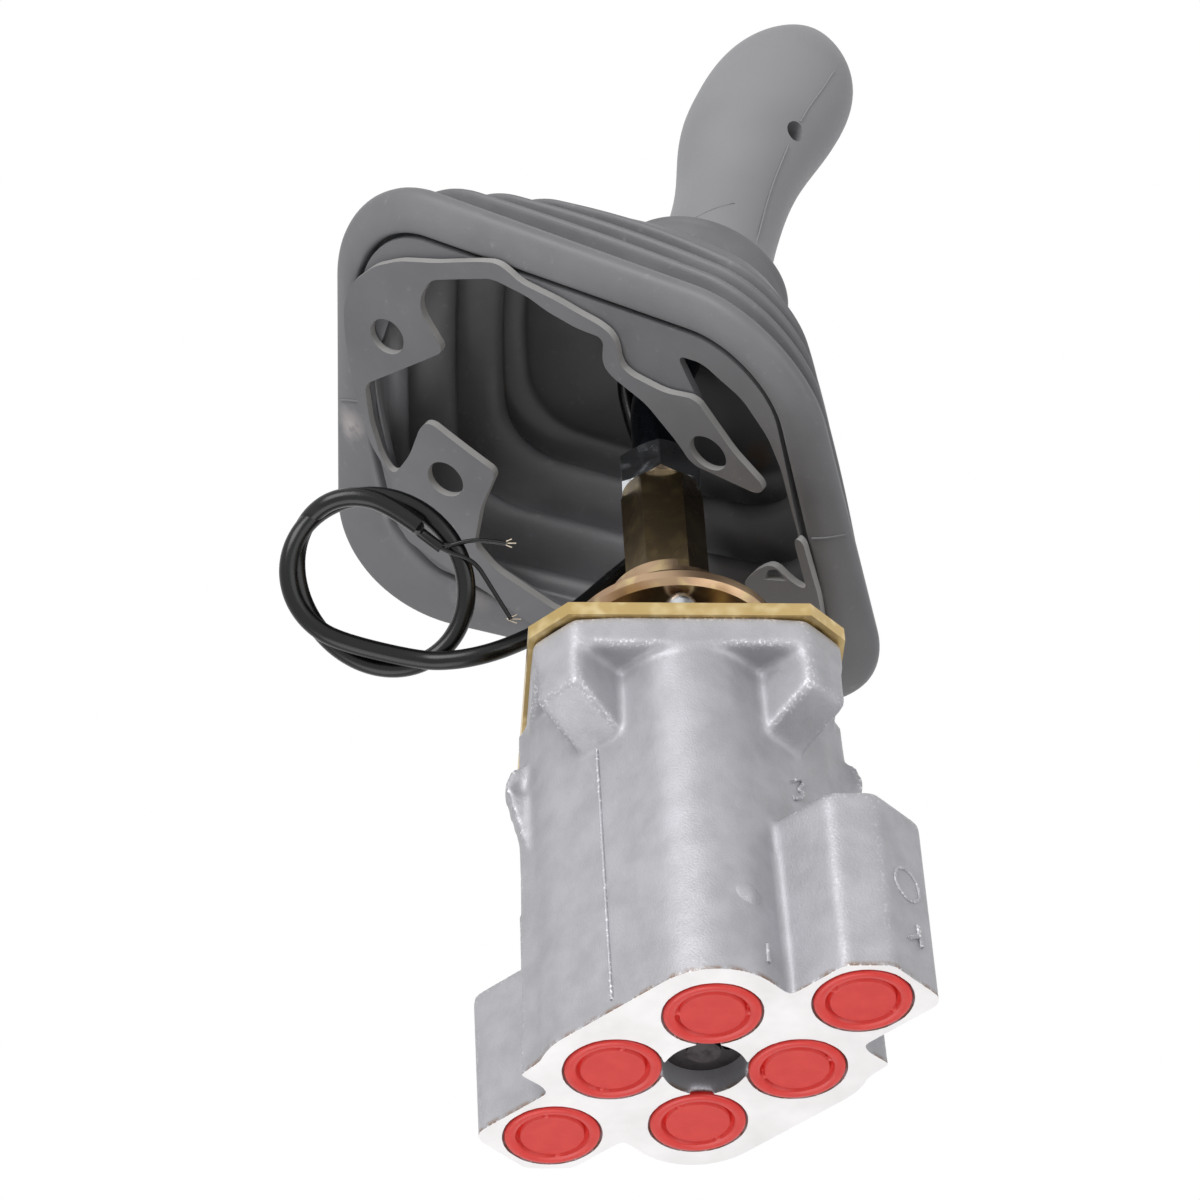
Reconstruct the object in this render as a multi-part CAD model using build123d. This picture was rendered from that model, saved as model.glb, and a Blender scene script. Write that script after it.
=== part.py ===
from build123d import *
import os
from math import atan2, cos, pi, radians, sin, sqrt, tan

os.makedirs("parts", exist_ok=True)

# Hydraulic pilot-control joystick: a cast valve body hangs under a mounting plate, and a lever with
# a moulded grip and a loose bellows boot stands on a universal joint above it.
# Millimetres. The origin is the centre of the plate's top face, +Z runs up the lever,
# +X is the side that the lever's bend leans to, and -Y is the front.

# Mounting plate
PLATE = 80.0
PLATE_T = 4.0
PLATE_CHAMFER = 9.5
BOLT_PITCH = 60.0
BOLT_TAP_R = 3.4
BOLT_RELIEF_R = 4.5
BOLT_RELIEF_DEPTH = 18.0
PLATE_RELIEF_R = 33.0
PLATE_BOSS_R = 13.0
PLATE_RELIEF = 0.5
PLATE_SCREW_AT = 19.0
PLATE_SCREW_R = 2.5
PLATE_SCREW_HEAD_R = 4.8
PLATE_SCREW_LENGTH = 14.0
SCREW_SOCKET_AF = 3.0
SCREW_SOCKET_DEPTH = 1.6

# Cast valve body
BODY_H = 110.6
FLANGE_INSET = 1.0
FLANGE_T = 8.7
WAY_R = 22.3
COLUMN_R = 18.0
COLUMN_DRAFT = 1.9
RIDGE_X = 44.5
RIDGE_Y = 2.2
RIDGE_DRAFT = 3.0
RIDGE_ROOT = 45.0
LUG_W = 14.5
LUG_END_DROP = 11.8
LUG_SLOPE = 26.0
LUG_EDGE_R = 1.5
LUG_ROOT = 3.0
EAR_Z = -28.0
EAR_R = 7.0
EAR_OVERHANG = 5.0
EAR_T = 6.0
EAR_BACK = 2.0
EAR_TAIL = 20.0
EAR_TAIL_R = 1.0
EAR_DIMPLE_R = 2.3
EAR_DIMPLE_DEPTH = 1.0
EAR_DIMPLE_IN = 4.2
EAR_DIMPLE_DROP = 1.0

# Supply and return lobes of the casting
LOBE_PORT_X = 35.4
LOBE_PORT_Y = -27.5
LOBE_WALL = 14.0
LOBE_NOSE_R = 4.0
LOBE_VALLEY_R = 3.0
LOBE_TOP_R = 2.5
LOBE_ROOT = 30.3
SUPPLY_LOBE_H = 53.6
RETURN_LOBE_H = 42.6

# Ports and their plugs
PORT_R = 6.6
PORT_DEPTH = 14.0
SPOTFACE_R = 12.5
SPOTFACE_DEPTH = 1.5
PLUG_R = 11.8
PLUG_T = 2.0
PLUG_STEM = 8.0
PLUG_WALL = 1.4
PLUG_RING_R = 8.4
PLUG_RING_W = 0.9
PLUG_RING_DEPTH = 0.5

# Centre bore of the port face and its retainer
CENTRE_R = 10.25
CENTRE_DEPTH = 18.0
RETAINER_T = 8.0
RETAINER_RECESS = 7.0
RETAINER_STUD_R = 4.2
RETAINER_STUD = 2.0
SPANNER_HOLE_R = 1.6
SPANNER_HOLE_AT = 6.2
SPANNER_HOLE_DEPTH = 4.0

# One control way: guide bush, push rod, springs and spool
CHAMBER_R = 9.5
CHAMBER_DEPTH = 64.0
BUSH_LENGTH = 16.0
BUSH_SPIGOT_R = 7.2
WIPER_R = 6.2
WIPER_T = 3.0
WIPER_LIP = 0.8
O_RING_DROP = 8.0
O_RING_WIRE_R = 0.9
PUSH_ROD_R = 4.25
PUSH_ROD_SHOULDER = -30.0
PUSH_ROD_STEM_R = 2.5
PUSH_ROD_STEM = 12.0
PUSH_ROD_GAP = 0.3
SPRING_SEAT_R = 8.5
SPRING_SEAT_T = 3.0
RETURN_SPRING_R = 7.2
RETURN_WIRE_R = 0.8
RETURN_TURNS = 6
SPRING_FACETS = 8
BALANCE_SPRING_R = 4.2
BALANCE_WIRE_R = 0.5
BALANCE_SPRING_LENGTH = 24.0
BALANCE_TURNS = 7
SPOOL_R = 4.0
SPOOL_FOOT_GAP = 2.6
SPOOL_HEAD_R = 6.0
SPOOL_HEAD_T = 3.0
SPOOL_GROOVE_R = 3.1
SPOOL_GROOVE = 7.0

# Universal joint
PIVOT_Z = 10.0
JOINT_SHANK_R = 7.0
JOINT_SHANK = 30.0
JOINT_BASE_T = 4.0
JOINT_PIN_R = 2.5
JOINT_EAR_R = 5.0
JOINT_EAR_IN = 7.0
JOINT_EAR_OUT = 11.0
JOINT_BASE_HALF = 4.0
CROSS_HALF = 5.0
CROSS_HALF_H = 4.0
JOINT_HUB_R = 12.5
JOINT_HUB_T = 3.5
JOINT_HUB_LIFT = 8.5
JOINT_STUD_R = 6.0

# Actuating disc, step washer, hexagon coupling and lock nut
DISC_R = 28.0
DISC_FACE_Z = 18.0
DISC_BEVEL = 1.5
DISC_RIM_H = 3.8
DISC_TOP_R = 17.5
DISC_SHOULDER_H = 13.5
DISC_DOME_SLOPE = 0.25
DISC_H = 15.0
WASHER_R = 16.0
WASHER_T = 3.5
WASHER_STEP_X = 1.0
WASHER_STEP_Y = -9.0
HEX_AF = 19.0
HEX_LENGTH = 36.9
HEX_CHAMFER = 1.0
HEX_TURN = -5.0
HEX_STUD_DEPTH = 20.0
NUT_AF = 21.0
NUT_H = 10.6
NUT_CHAMFER = 1.4
NUT_TURN = 30.0

# Lever rod and grip
ROD_R = 7.0
ROD_BEND_Z = 107.4
ROD_BEND_R = 40.0
ROD_BEND = 21.0
ROD_SEAT_GAP = 0.5
GRIP_NECK_X = 21.0
GRIP_NECK_Z = 162.0
GRIP_TAIL = 14.0
GRIP_NECK_R = 15.5
ROD_IN_GRIP = 55.0
GRIP_HOLE_R = 3.0
GRIP_HOLE_AT = 47.7
GRIP_HOLE_X = -6.4
GRIP_HOLE_TURN = 46.0
GRIP_HOLE_DEPTH = 10.0
# Grip stations: distance along the grip, offset towards -X, half width, half depth
GRIP_STATIONS = [(9.0, 2.2, 15.9, 15.2), (18.0, 3.3, 16.0, 15.2), (32.0, 5.3, 17.3, 16.3),
                 (46.0, 6.5, 19.5, 18.0), (60.0, 5.6, 21.0, 19.0), (72.0, 4.5, 21.1, 18.8),
                 (84.0, 3.6, 18.6, 16.5), (93.0, 3.5, 13.5, 12.0), (99.5, 3.7, 7.2, 6.6)]
GRIP_TOP = 101.8

# Horn button, its switch and the lead
BUTTON_AT = 74.0
BUTTON_OFFSET = 4.5
BUTTON_TILT = 35.0
BUTTON_R = 6.5
BUTTON_OUT = 22.0
BUTTON_LENGTH = 9.0
BUTTON_TRAVEL = 2.5
BUTTON_EDGE_R = 1.2
SWITCH_R = 5.6
SWITCH_LENGTH = 9.0
SWITCH_PLUNGER_R = 1.5
LEAD_D = 5.0
LEAD_AT = 11.5
GROMMET_LENGTH = 6.0
GROMMET_R = 4.2
GROMMET_SPIGOT = 5.0
GROMMET_SPIGOT_R = 3.2
LEAD_STRAIGHT = 15.5
CORE_D = 1.4

# Bellows boot
BOOT_RIM = (-19.9, -5.3, 82.6)
BOOT_AXIS = (0.542, 0.118, 0.832)
BOOT_SIDE = (0.835, -0.189, -0.517)
BOOT_ACROSS = (0.150, 0.959, -0.234)
BOOT_W = 155.6
BOOT_D = 132.8
BOOT_CORNER_R = 32.0
BOOT_FLARE = 4.4
BOOT_TWIST = 9.0
BOOT_NECK_R = 22.5
BOOT_WALL = 2.6
BOOT_FOLDS = 4
BOOT_FOLD_HALF = 2.8
BOOT_FOLD_FIRST = 0.099
BOOT_FOLD_PITCH = 0.122
# Cone above the folds and ring at the neck: share of the height, growth outwards
BOOT_CONE = [(0.66, -0.6), (0.74, -1.2), (0.82, -3.2), (0.88, -4.0), (0.93, -2.6), (0.97, 0.0), (1.0, 0.0)]
BOOT_COLLAR_FROM = 0.97
BOOT_LIP = (0.045, 0.9)
# Underside of the skirt from the lip inwards: growth outwards, lift along the boot
BOOT_SKIRT = [(1.0, -0.2), (0.2, -1.8), (-5.8, -3.6), (-7.4, -5.4), (-10.0, -2.6), (-12.2, -4.6), (-13.8, -4.8),
              (-12.6, -1.0)]
BOOT_RING_POINTS = 32
SHEET_T = 2.8
SHEET_LIFT = -7.2
SHEET_INSET = 9.0
# Cut edge of the flange sheet, tab by tab from the left one by the grip: along the side, across it
SHEET_EDGE = [(-66, -8), (-38.5, -26), (-45.5, -36), (-45.5, -40.5), (-42, -47), (-20, -54.5), (-8.5, -52.5),
              (8, -48), (16.5, -47.5), (15, -40), (27.5, -31), (39, -15), (58.5, -11.5), (61, -14.5), (52.5, -23.5),
              (46, -37), (38.5, -48), (46.5, -48), (57.5, -40), (63.5, -30), (65.5, -20), (66.5, 0), (66.5, 18),
              (63, 16.5), (58, 11.5), (53, 15.5), (47.5, 22), (54, 34), (45.5, 45.5), (21, 51.5), (-10.5, 48.5),
              (-28, 40), (-33.5, 34), (-30.5, 20.5), (-24.5, 7.5), (-45, -2.5), (-52, 10.5), (-57.5, 18), (-61, 13.5)]
TAB_HOLES = [(-57.2, -25.6), (-40.8, 14.4), (44.7, -20.4)]
TAB_HOLE_R = 5.2

# Clearances, all radial
RUN = 0.05
SEAT = 0.03
SOFT = 0.3

# Levels that follow from the sizes above
SEAT_Z = -PLATE_T
PORT_Z = SEAT_Z - BODY_H
FLANGE_HALF = PLATE / 2 - FLANGE_INSET
CHAMBER_Z = SEAT_Z - CHAMBER_DEPTH
PUSH_ROD_TIP_Z = DISC_FACE_Z - PUSH_ROD_GAP
SPRING_TOP_Z = PUSH_ROD_SHOULDER - SPRING_SEAT_T
SPOOL_TOP_Z = SPRING_TOP_Z - BALANCE_SPRING_LENGTH
HUB_Z = PIVOT_Z + JOINT_HUB_LIFT
HUB_TOP_Z = HUB_Z + JOINT_HUB_T
WASHER_Z = DISC_FACE_Z + DISC_H
HEX_Z = WASHER_Z + WASHER_T
NUT_Z = HEX_Z + HEX_LENGTH
NUT_TOP_Z = NUT_Z + NUT_H
STUD_TOP_Z = HEX_Z + HEX_STUD_DEPTH
ROD_FOOT_Z = STUD_TOP_Z + ROD_SEAT_GAP

WAYS = {"front": (0, -1), "rear": (0, 1), "left": (-1, 0), "right": (1, 0)}
CORNERS = [(-1, -1), (1, -1), (1, 1), (-1, 1)]


def save(name, shape):
    """Write one node, a single piece or a group of like pieces, and say its volume."""
    shape.label = name
    export_step(shape, f"parts/{name}.step")
    print(f"{name:18s} {shape.volume:12.1f} mm3")


def group(pieces):
    """Several separate solids in one node."""
    return Compound(children=[piece if isinstance(piece, Solid) else piece.solid() for piece in pieces])


def disc(radius, low, high):
    """Upright cylinder between two levels."""
    return Pos(0, 0, low) * extrude(Circle(radius), high - low)


def ring(outer, inner, low, high):
    """Upright tube between two levels."""
    return Pos(0, 0, low) * extrude(Circle(outer) - Circle(inner), high - low)


def at_way(way, shape):
    """Move a piece from the axis to one of the four control ways."""
    x, y = WAYS[way]
    return Pos(WAY_R * x, WAY_R * y, 0) * shape


def chamfered_square(side, corner):
    return chamfer(Rectangle(side, side).vertices(), corner)


# Places along the bent grip
BEND = radians(ROD_BEND)
GRIP_DIR = Vector(sin(BEND), 0, cos(BEND))
GRIP_SIDE = Vector(cos(BEND), 0, -sin(BEND))
GRIP_NECK = Vector(GRIP_NECK_X, 0, GRIP_NECK_Z)


def grip_plane(along, side=0.0):
    """Plane across the grip at a distance along it, shifted sideways."""
    return Plane(origin=GRIP_NECK + GRIP_DIR * along + GRIP_SIDE * side, x_dir=GRIP_SIDE, z_dir=GRIP_DIR)


# Mounting plate, clamped on the body by the joint and two countersunk screws
def bolt_places():
    half = BOLT_PITCH / 2
    return [Pos(half * x, half * y, 0) for x, y in CORNERS]


def screw_places():
    """Screws on one diagonal, sunk to the floor of the plate's relief."""
    return [Pos(x * PLATE_SCREW_AT, -x * PLATE_SCREW_AT, -PLATE_RELIEF) for x in (-1, 1)]


def screw_head(gap):
    """Countersunk head, its flat at the origin."""
    cone = Cone(PLATE_SCREW_R + gap, PLATE_SCREW_HEAD_R + gap, PLATE_SCREW_HEAD_R - PLATE_SCREW_R)
    return Pos(0, 0, -(PLATE_SCREW_HEAD_R - PLATE_SCREW_R) / 2) * cone


def mounting_plate():
    """Plate whose rim meets the console; inside it is turned down round the joint's boss."""
    plate = Pos(0, 0, SEAT_Z) * extrude(chamfered_square(PLATE, PLATE_CHAMFER), PLATE_T)
    plate -= ring(PLATE_RELIEF_R, PLATE_BOSS_R, -PLATE_RELIEF, 0)
    plate -= [place * disc(BOLT_TAP_R, SEAT_Z, 0) for place in bolt_places()]
    plate -= [at_way(way, disc(BUSH_SPIGOT_R + SEAT, SEAT_Z, 0)) for way in WAYS]
    plate -= [place * (disc(PLATE_SCREW_R + SEAT, SEAT_Z, 0) + screw_head(SEAT)) for place in screw_places()]
    return plate - disc(JOINT_SHANK_R + SEAT, SEAT_Z, 0)


def plate_screws():
    socket = Pos(0, 0, -SCREW_SOCKET_DEPTH) * extrude(
        RegularPolygon(SCREW_SOCKET_AF / 2, 6, major_radius=False), SCREW_SOCKET_DEPTH)
    screw = screw_head(0) + disc(PLATE_SCREW_R, -PLATE_SCREW_LENGTH, 0) - socket
    return group([place * screw for place in screw_places()])


# Valve body
def column_hull(radius):
    """Hull of the four round columns, one about each control way."""
    circles = [Pos(WAY_R * x, WAY_R * y) * Circle(radius) for x, y in WAYS.values()]
    return make_hull([edge for circle in circles for edge in circle.edges()])


def column_core(radius):
    """Eight-sided core that touches the four columns where their common tangents do."""
    near = radius * sqrt(0.5)
    far = WAY_R + near
    return Polygon((near, far), (-near, far), (-far, near), (-far, -near), (-near, -far), (near, -far),
                   (far, -near), (far, near), align=None)


def columns():
    """Four drafted columns and the core between them, from the port face up to the plate."""
    top_r = COLUMN_R - COLUMN_DRAFT
    foot = Pos(0, 0, PORT_Z) * column_core(COLUMN_R)
    core = loft([foot, Pos(0, 0, SEAT_Z) * column_core(top_r)], ruled=True)
    column = Pos(0, 0, PORT_Z + BODY_H / 2) * Cone(COLUMN_R, top_r, BODY_H)
    return core + [at_way(way, column) for way in WAYS]


def side_ridge():
    """Pointed rib down the right-hand column, leaning in towards the flange."""
    root_r = COLUMN_R - COLUMN_DRAFT
    root_x = WAY_R + root_r * cos(radians(RIDGE_ROOT))
    root_y = root_r * sin(radians(RIDGE_ROOT))

    def section(reach):
        return Polygon((reach, -RIDGE_Y), (root_x, root_y), (WAY_R, 0), (root_x, -root_y), align=None)
    low = Pos(0, 0, PORT_Z) * section(RIDGE_X)
    high = Pos(0, 0, SEAT_Z - FLANGE_T / 2) * section(RIDGE_X - RIDGE_DRAFT)
    return loft([low, high], ruled=True)


def lug(turn):
    """Bolt boss under a flange corner, its foot sloping back into the columns."""
    outer = (2 * FLANGE_HALF - PLATE_CHAMFER) / sqrt(2)
    inner = WAY_R / sqrt(2) + COLUMN_R - COLUMN_DRAFT - LUG_ROOT
    end_z = SEAT_Z - FLANGE_T - LUG_END_DROP
    foot_z = end_z - (outer - inner) * tan(radians(LUG_SLOPE))
    side = Plane(origin=(0, 0, 0), x_dir=(1, 0, 0), z_dir=(0, -1, 0))
    profile = side * Polygon((inner, SEAT_Z), (outer, SEAT_Z), (outer, end_z), (inner, foot_z), align=None)
    block = extrude(profile, LUG_W / 2, both=True)
    block = fillet(block.edges().filter_by(lambda e: e.center().X > inner + LUG_EDGE_R
                                           and e.center().Z < SEAT_Z - LUG_EDGE_R), LUG_EDGE_R)
    return Rot(0, 0, turn) * block


def ear():
    """Flat cast ear on the right-hand side, with a tail running down the column."""
    reach = WAY_R + COLUMN_R + EAR_OVERHANG
    face = Plane(origin=(0, EAR_BACK, 0), x_dir=(1, 0, 0), z_dir=(0, -1, 0))
    round_end = Pos(reach - EAR_R, EAR_Z) * Circle(EAR_R)
    tail = Pos(reach - EAR_OVERHANG, EAR_Z - EAR_TAIL) * Circle(EAR_TAIL_R)
    root = Pos(WAY_R, EAR_Z) * Circle(EAR_R)
    outline = make_hull(round_end.edges() + tail.edges() + root.edges())
    slab = extrude(face * outline, EAR_T)
    dimple_face = Plane(origin=(reach - EAR_DIMPLE_IN, EAR_BACK, EAR_Z - EAR_DIMPLE_DROP), z_dir=(0, 1, 0))
    return slab - extrude(dimple_face * Circle(EAR_DIMPLE_R), -EAR_DIMPLE_DEPTH)


def lobe(height):
    """Port lobe on the front right: two 45 degree walls, a nose and a valley against the columns."""
    port = Vector(LOBE_PORT_X, LOBE_PORT_Y)
    out = Vector(1, -1) / sqrt(2)
    side = Vector(1, 1) / sqrt(2)
    half_flat = LOBE_WALL * tan(radians(22.5))
    corners = [port - out * LOBE_ROOT + side * LOBE_WALL, port + (out + side) * LOBE_WALL,
               port + Vector(half_flat, -LOBE_WALL), port + Vector(-half_flat, -LOBE_WALL),
               port - out * LOBE_ROOT - side * LOBE_WALL]
    nose = Polygon(*[(c.X, c.Y) for c in corners], align=None)
    outer = [v for v in nose.vertices() if (v.center() - port).dot(out) > 0]
    nose = fillet(outer, LOBE_NOSE_R)
    hull = column_hull(COLUMN_R)
    whole = nose + hull
    known = [v.center() for v in nose.vertices() + hull.vertices()]
    valleys = [v for v in whole.vertices() if min((v.center() - k).length for k in known) > RUN]
    fillers = fillet(valleys, LOBE_VALLEY_R) - nose - hull
    block = Pos(0, 0, PORT_Z) * extrude(nose, height, dir=(0, 0, 1))
    top_edges = block.faces().sort_by(Axis.Z)[-1].edges()
    rounded = top_edges.filter_by(lambda e: (e.center() - port).dot(out) > LOBE_TOP_R - LOBE_ROOT)
    valley = extrude(fillers, height - LOBE_TOP_R, dir=(0, 0, 1))
    return fillet(rounded, LOBE_TOP_R) + Pos(0, 0, PORT_Z) * valley


def control_bore():
    """Spring chamber from above, spool bore, and the port with its spotface from below."""
    bore = disc(CHAMBER_R, CHAMBER_Z, SEAT_Z) + disc(SPOOL_R + RUN, PORT_Z + PORT_DEPTH, CHAMBER_Z)
    return bore + port_bore()


def port_bore():
    return disc(PORT_R, PORT_Z, PORT_Z + PORT_DEPTH) + disc(SPOTFACE_R, PORT_Z, PORT_Z + SPOTFACE_DEPTH)


def port_places():
    ways = [Pos(WAY_R * x, WAY_R * y, 0) for x, y in WAYS.values()]
    return ways + [Pos(LOBE_PORT_X, LOBE_PORT_Y, 0), Pos(-LOBE_PORT_X, -LOBE_PORT_Y, 0)]


def valve_body():
    half_turn = Rot(0, 0, 180)
    flange = chamfered_square(2 * FLANGE_HALF, PLATE_CHAMFER)
    body = columns() + Pos(0, 0, SEAT_Z - FLANGE_T) * extrude(flange, FLANGE_T)
    body += [side_ridge(), half_turn * side_ridge(), ear(), half_turn * ear()]
    body += [lobe(SUPPLY_LOBE_H), half_turn * lobe(RETURN_LOBE_H)]
    body += [lug(45 + 90 * k) for k in range(4)]
    body -= [at_way(way, control_bore()) for way in WAYS]
    body -= [Pos(x * LOBE_PORT_X, x * LOBE_PORT_Y, 0) * port_bore() for x in (1, -1)]
    body -= disc(CENTRE_R, PORT_Z, PORT_Z + CENTRE_DEPTH)
    body -= disc(JOINT_SHANK_R + SEAT, -JOINT_SHANK, SEAT_Z)
    body -= [place * disc(BOLT_RELIEF_R, SEAT_Z - BOLT_RELIEF_DEPTH, SEAT_Z) for place in bolt_places()]
    body -= [place * disc(PLATE_SCREW_R + SEAT, -PLATE_SCREW_LENGTH, 0) for place in screw_places()]
    return body


# What closes the port face
def port_plugs():
    """Push-in transport plugs: a flat cap with a ring groove and a hollow stem."""
    cap_z = PORT_Z + SPOTFACE_DEPTH
    stem_top = cap_z + PLUG_STEM
    cap = disc(PLUG_R, cap_z - PLUG_T, cap_z)
    cap -= ring(PLUG_RING_R + PLUG_RING_W, PLUG_RING_R, cap_z - PLUG_T, cap_z - PLUG_T + PLUG_RING_DEPTH)
    plug = cap + ring(PORT_R - SEAT, PORT_R - SEAT - PLUG_WALL, cap_z, stem_top)
    return group([place * plug for place in port_places()])


def retainer():
    """Screwed retainer in the centre bore, with a stud and two pin-spanner holes."""
    face_z = PORT_Z + RETAINER_RECESS
    body = disc(CENTRE_R - SEAT, face_z, face_z + RETAINER_T)
    holes = [Pos(x * SPANNER_HOLE_AT, 0, 0) * disc(SPANNER_HOLE_R, face_z, face_z + SPANNER_HOLE_DEPTH)
             for x in (1, -1)]
    return body - holes + disc(RETAINER_STUD_R, face_z - RETAINER_STUD, face_z)


# The four control ways
def guide_bush():
    bush = disc(CHAMBER_R - SEAT, SEAT_Z - BUSH_LENGTH, SEAT_Z) + disc(BUSH_SPIGOT_R, SEAT_Z, 0)
    bush -= disc(PUSH_ROD_R + RUN, SEAT_Z - BUSH_LENGTH, 0)
    bush -= disc(WIPER_R + SEAT, -WIPER_T, 0)
    groove_z = SEAT_Z - O_RING_DROP
    groove_half = O_RING_WIRE_R + RUN
    floor_r = CHAMBER_R - 2 * O_RING_WIRE_R - 2 * RUN
    return bush - ring(CHAMBER_R, floor_r, groove_z - groove_half, groove_z + groove_half)


def o_ring():
    return Pos(0, 0, SEAT_Z - O_RING_DROP) * Torus(CHAMBER_R - O_RING_WIRE_R - RUN, O_RING_WIRE_R)


def rod_wiper():
    wiper = ring(WIPER_R, PUSH_ROD_R + RUN, -WIPER_T, 0)
    return chamfer(wiper.edges().group_by(Axis.Z)[-1].sort_by(SortBy.LENGTH)[0], WIPER_LIP)


def push_rod():
    rod = disc(PUSH_ROD_R, PUSH_ROD_SHOULDER, PUSH_ROD_TIP_Z - PUSH_ROD_R)
    rod += Pos(0, 0, PUSH_ROD_TIP_Z - PUSH_ROD_R) * Sphere(PUSH_ROD_R)
    return rod + disc(PUSH_ROD_STEM_R, PUSH_ROD_SHOULDER - PUSH_ROD_STEM, PUSH_ROD_SHOULDER)


def spring_seat():
    return ring(SPRING_SEAT_R, PUSH_ROD_STEM_R + SEAT, SPRING_TOP_Z, PUSH_ROD_SHOULDER)


def coil_spring(radius, wire, low, high, turns):
    """Helix of plainly faceted wire that just bears on the faces at its two ends."""
    height = high - low - 2 * wire
    path = Pos(0, 0, low + wire) * Helix(pitch=height / turns, height=height, radius=radius)
    start = Plane(origin=path @ 0, x_dir=(1, 0, 0), z_dir=path % 0)
    return sweep(start * RegularPolygon(wire, SPRING_FACETS), path=path, is_frenet=True)


def spool():
    """Pressure-reducing spool: a head for the balance spring, a long land and a metering groove."""
    foot_z = PORT_Z + PORT_DEPTH + SPOOL_FOOT_GAP
    body = disc(SPOOL_R, foot_z, SPOOL_TOP_Z) + disc(SPOOL_HEAD_R, SPOOL_TOP_Z - SPOOL_HEAD_T, SPOOL_TOP_Z)
    groove_z = foot_z + SPOOL_GROOVE
    return body - ring(SPOOL_HEAD_R, SPOOL_GROOVE_R, groove_z, groove_z + SPOOL_GROOVE)


# Universal joint under the disc
def joint_ear(low, high, base_z):
    """Rounded ear of a fork on the +X side, from a base level to round the pin axis."""
    face = Plane(origin=(low, 0, PIVOT_Z), x_dir=(0, 1, 0), z_dir=(1, 0, 0))
    rise = base_z - PIVOT_Z
    flat = Pos(0, rise / 2) * Rectangle(2 * JOINT_EAR_R, abs(rise))
    return extrude(face * (Circle(JOINT_EAR_R) + flat), high - low)


def pin_pair(radius):
    """Round bar along X through the pivot, as long as the fork is wide."""
    bar = Plane(origin=(-JOINT_EAR_OUT, 0, PIVOT_Z), x_dir=(0, 1, 0), z_dir=(1, 0, 0))
    return extrude(bar * Circle(radius), 2 * JOINT_EAR_OUT)


def joint_base():
    """Lower fork: shank screwed into the body, base bar on the plate, two ears along X."""
    fork = disc(JOINT_SHANK_R, -JOINT_SHANK, 0)
    fork += Pos(0, 0, JOINT_BASE_T / 2) * Box(2 * JOINT_EAR_OUT, 2 * JOINT_BASE_HALF, JOINT_BASE_T)
    right = joint_ear(JOINT_EAR_IN, JOINT_EAR_OUT, JOINT_BASE_T)
    fork += [right, Rot(0, 0, 180) * right]
    return fork - pin_pair(JOINT_PIN_R + RUN)


def joint_cross():
    block = Pos(0, 0, PIVOT_Z) * Box(2 * CROSS_HALF, 2 * CROSS_HALF, 2 * CROSS_HALF_H)
    bar = pin_pair(JOINT_PIN_R)
    return block + bar + Rot(0, 0, 90) * bar


def joint_fork():
    """Upper fork: two ears along Y under a round hub, and the stud that carries the lever."""
    front = Rot(0, 0, 90) * joint_ear(JOINT_EAR_IN, JOINT_EAR_OUT, HUB_Z)
    fork = disc(JOINT_HUB_R, HUB_Z, HUB_TOP_Z) + disc(JOINT_STUD_R, HUB_TOP_Z, STUD_TOP_Z)
    fork += [front, Rot(0, 0, 180) * front]
    return fork - Rot(0, 0, 90) * pin_pair(JOINT_PIN_R + RUN)


# Stack on the stud
def swash_disc():
    """Domed disc: a flat track underneath for the push rods, and a recess for the joint's hub."""
    bore = JOINT_STUD_R + SEAT
    recess = JOINT_HUB_R + SOFT
    shoulder_z = DISC_FACE_Z + DISC_SHOULDER_H
    rim_z = DISC_FACE_Z + DISC_RIM_H
    with BuildPart() as part:
        with BuildSketch(Plane.XZ):
            with BuildLine():
                track = Polyline((bore, HUB_TOP_Z), (recess, HUB_TOP_Z), (recess, DISC_FACE_Z),
                                 (DISC_R - DISC_BEVEL, DISC_FACE_Z), (DISC_R, DISC_FACE_Z + DISC_BEVEL),
                                 (DISC_R, rim_z))
                dome = TangentArc(track @ 1, (DISC_TOP_R, shoulder_z), tangent=(-1, DISC_DOME_SLOPE))
                Polyline(dome @ 1, (DISC_TOP_R, WASHER_Z), (bore, WASHER_Z), (bore, HUB_TOP_Z))
            make_face()
        revolve(axis=Axis.Z)
    return part.part


def step_washer():
    """Thick washer, cut back to a step at the front right."""
    washer = ring(WASHER_R, JOINT_STUD_R + SEAT, WASHER_Z, HEX_Z)
    cut = Pos(WASHER_STEP_X + WASHER_R, WASHER_STEP_Y - WASHER_R, WASHER_Z) * Box(
        2 * WASHER_R, 2 * WASHER_R, 3 * WASHER_T)
    return washer - cut


def hexagon(flats, low, high, edge, turn):
    """Hexagon bar, its corners turned to a cone at both ends."""
    bar = Pos(0, 0, low) * extrude(Rot(0, 0, turn) * RegularPolygon(flats / 2, 6, major_radius=False),
                                   high - low)
    corner = flats / sqrt(3)
    with BuildPart() as envelope:
        with BuildSketch(Plane.XZ):
            with BuildLine():
                Polyline((0, low), (corner - edge, low), (corner, low + edge / 2), (corner, high - edge / 2),
                         (corner - edge, high), (0, high), (0, low))
            make_face()
        revolve(axis=Axis.Z)
    return bar & envelope.part


def hex_coupling():
    bar = hexagon(HEX_AF, HEX_Z, NUT_Z, HEX_CHAMFER, HEX_TURN)
    bar -= disc(JOINT_STUD_R + SEAT, HEX_Z, STUD_TOP_Z)
    return bar - disc(ROD_R + SEAT, STUD_TOP_Z, NUT_Z)


def lock_nut():
    nut = hexagon(NUT_AF, NUT_Z, NUT_TOP_Z, NUT_CHAMFER, HEX_TURN + NUT_TURN)
    return nut - disc(ROD_R + SEAT, NUT_Z, NUT_TOP_Z)


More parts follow.
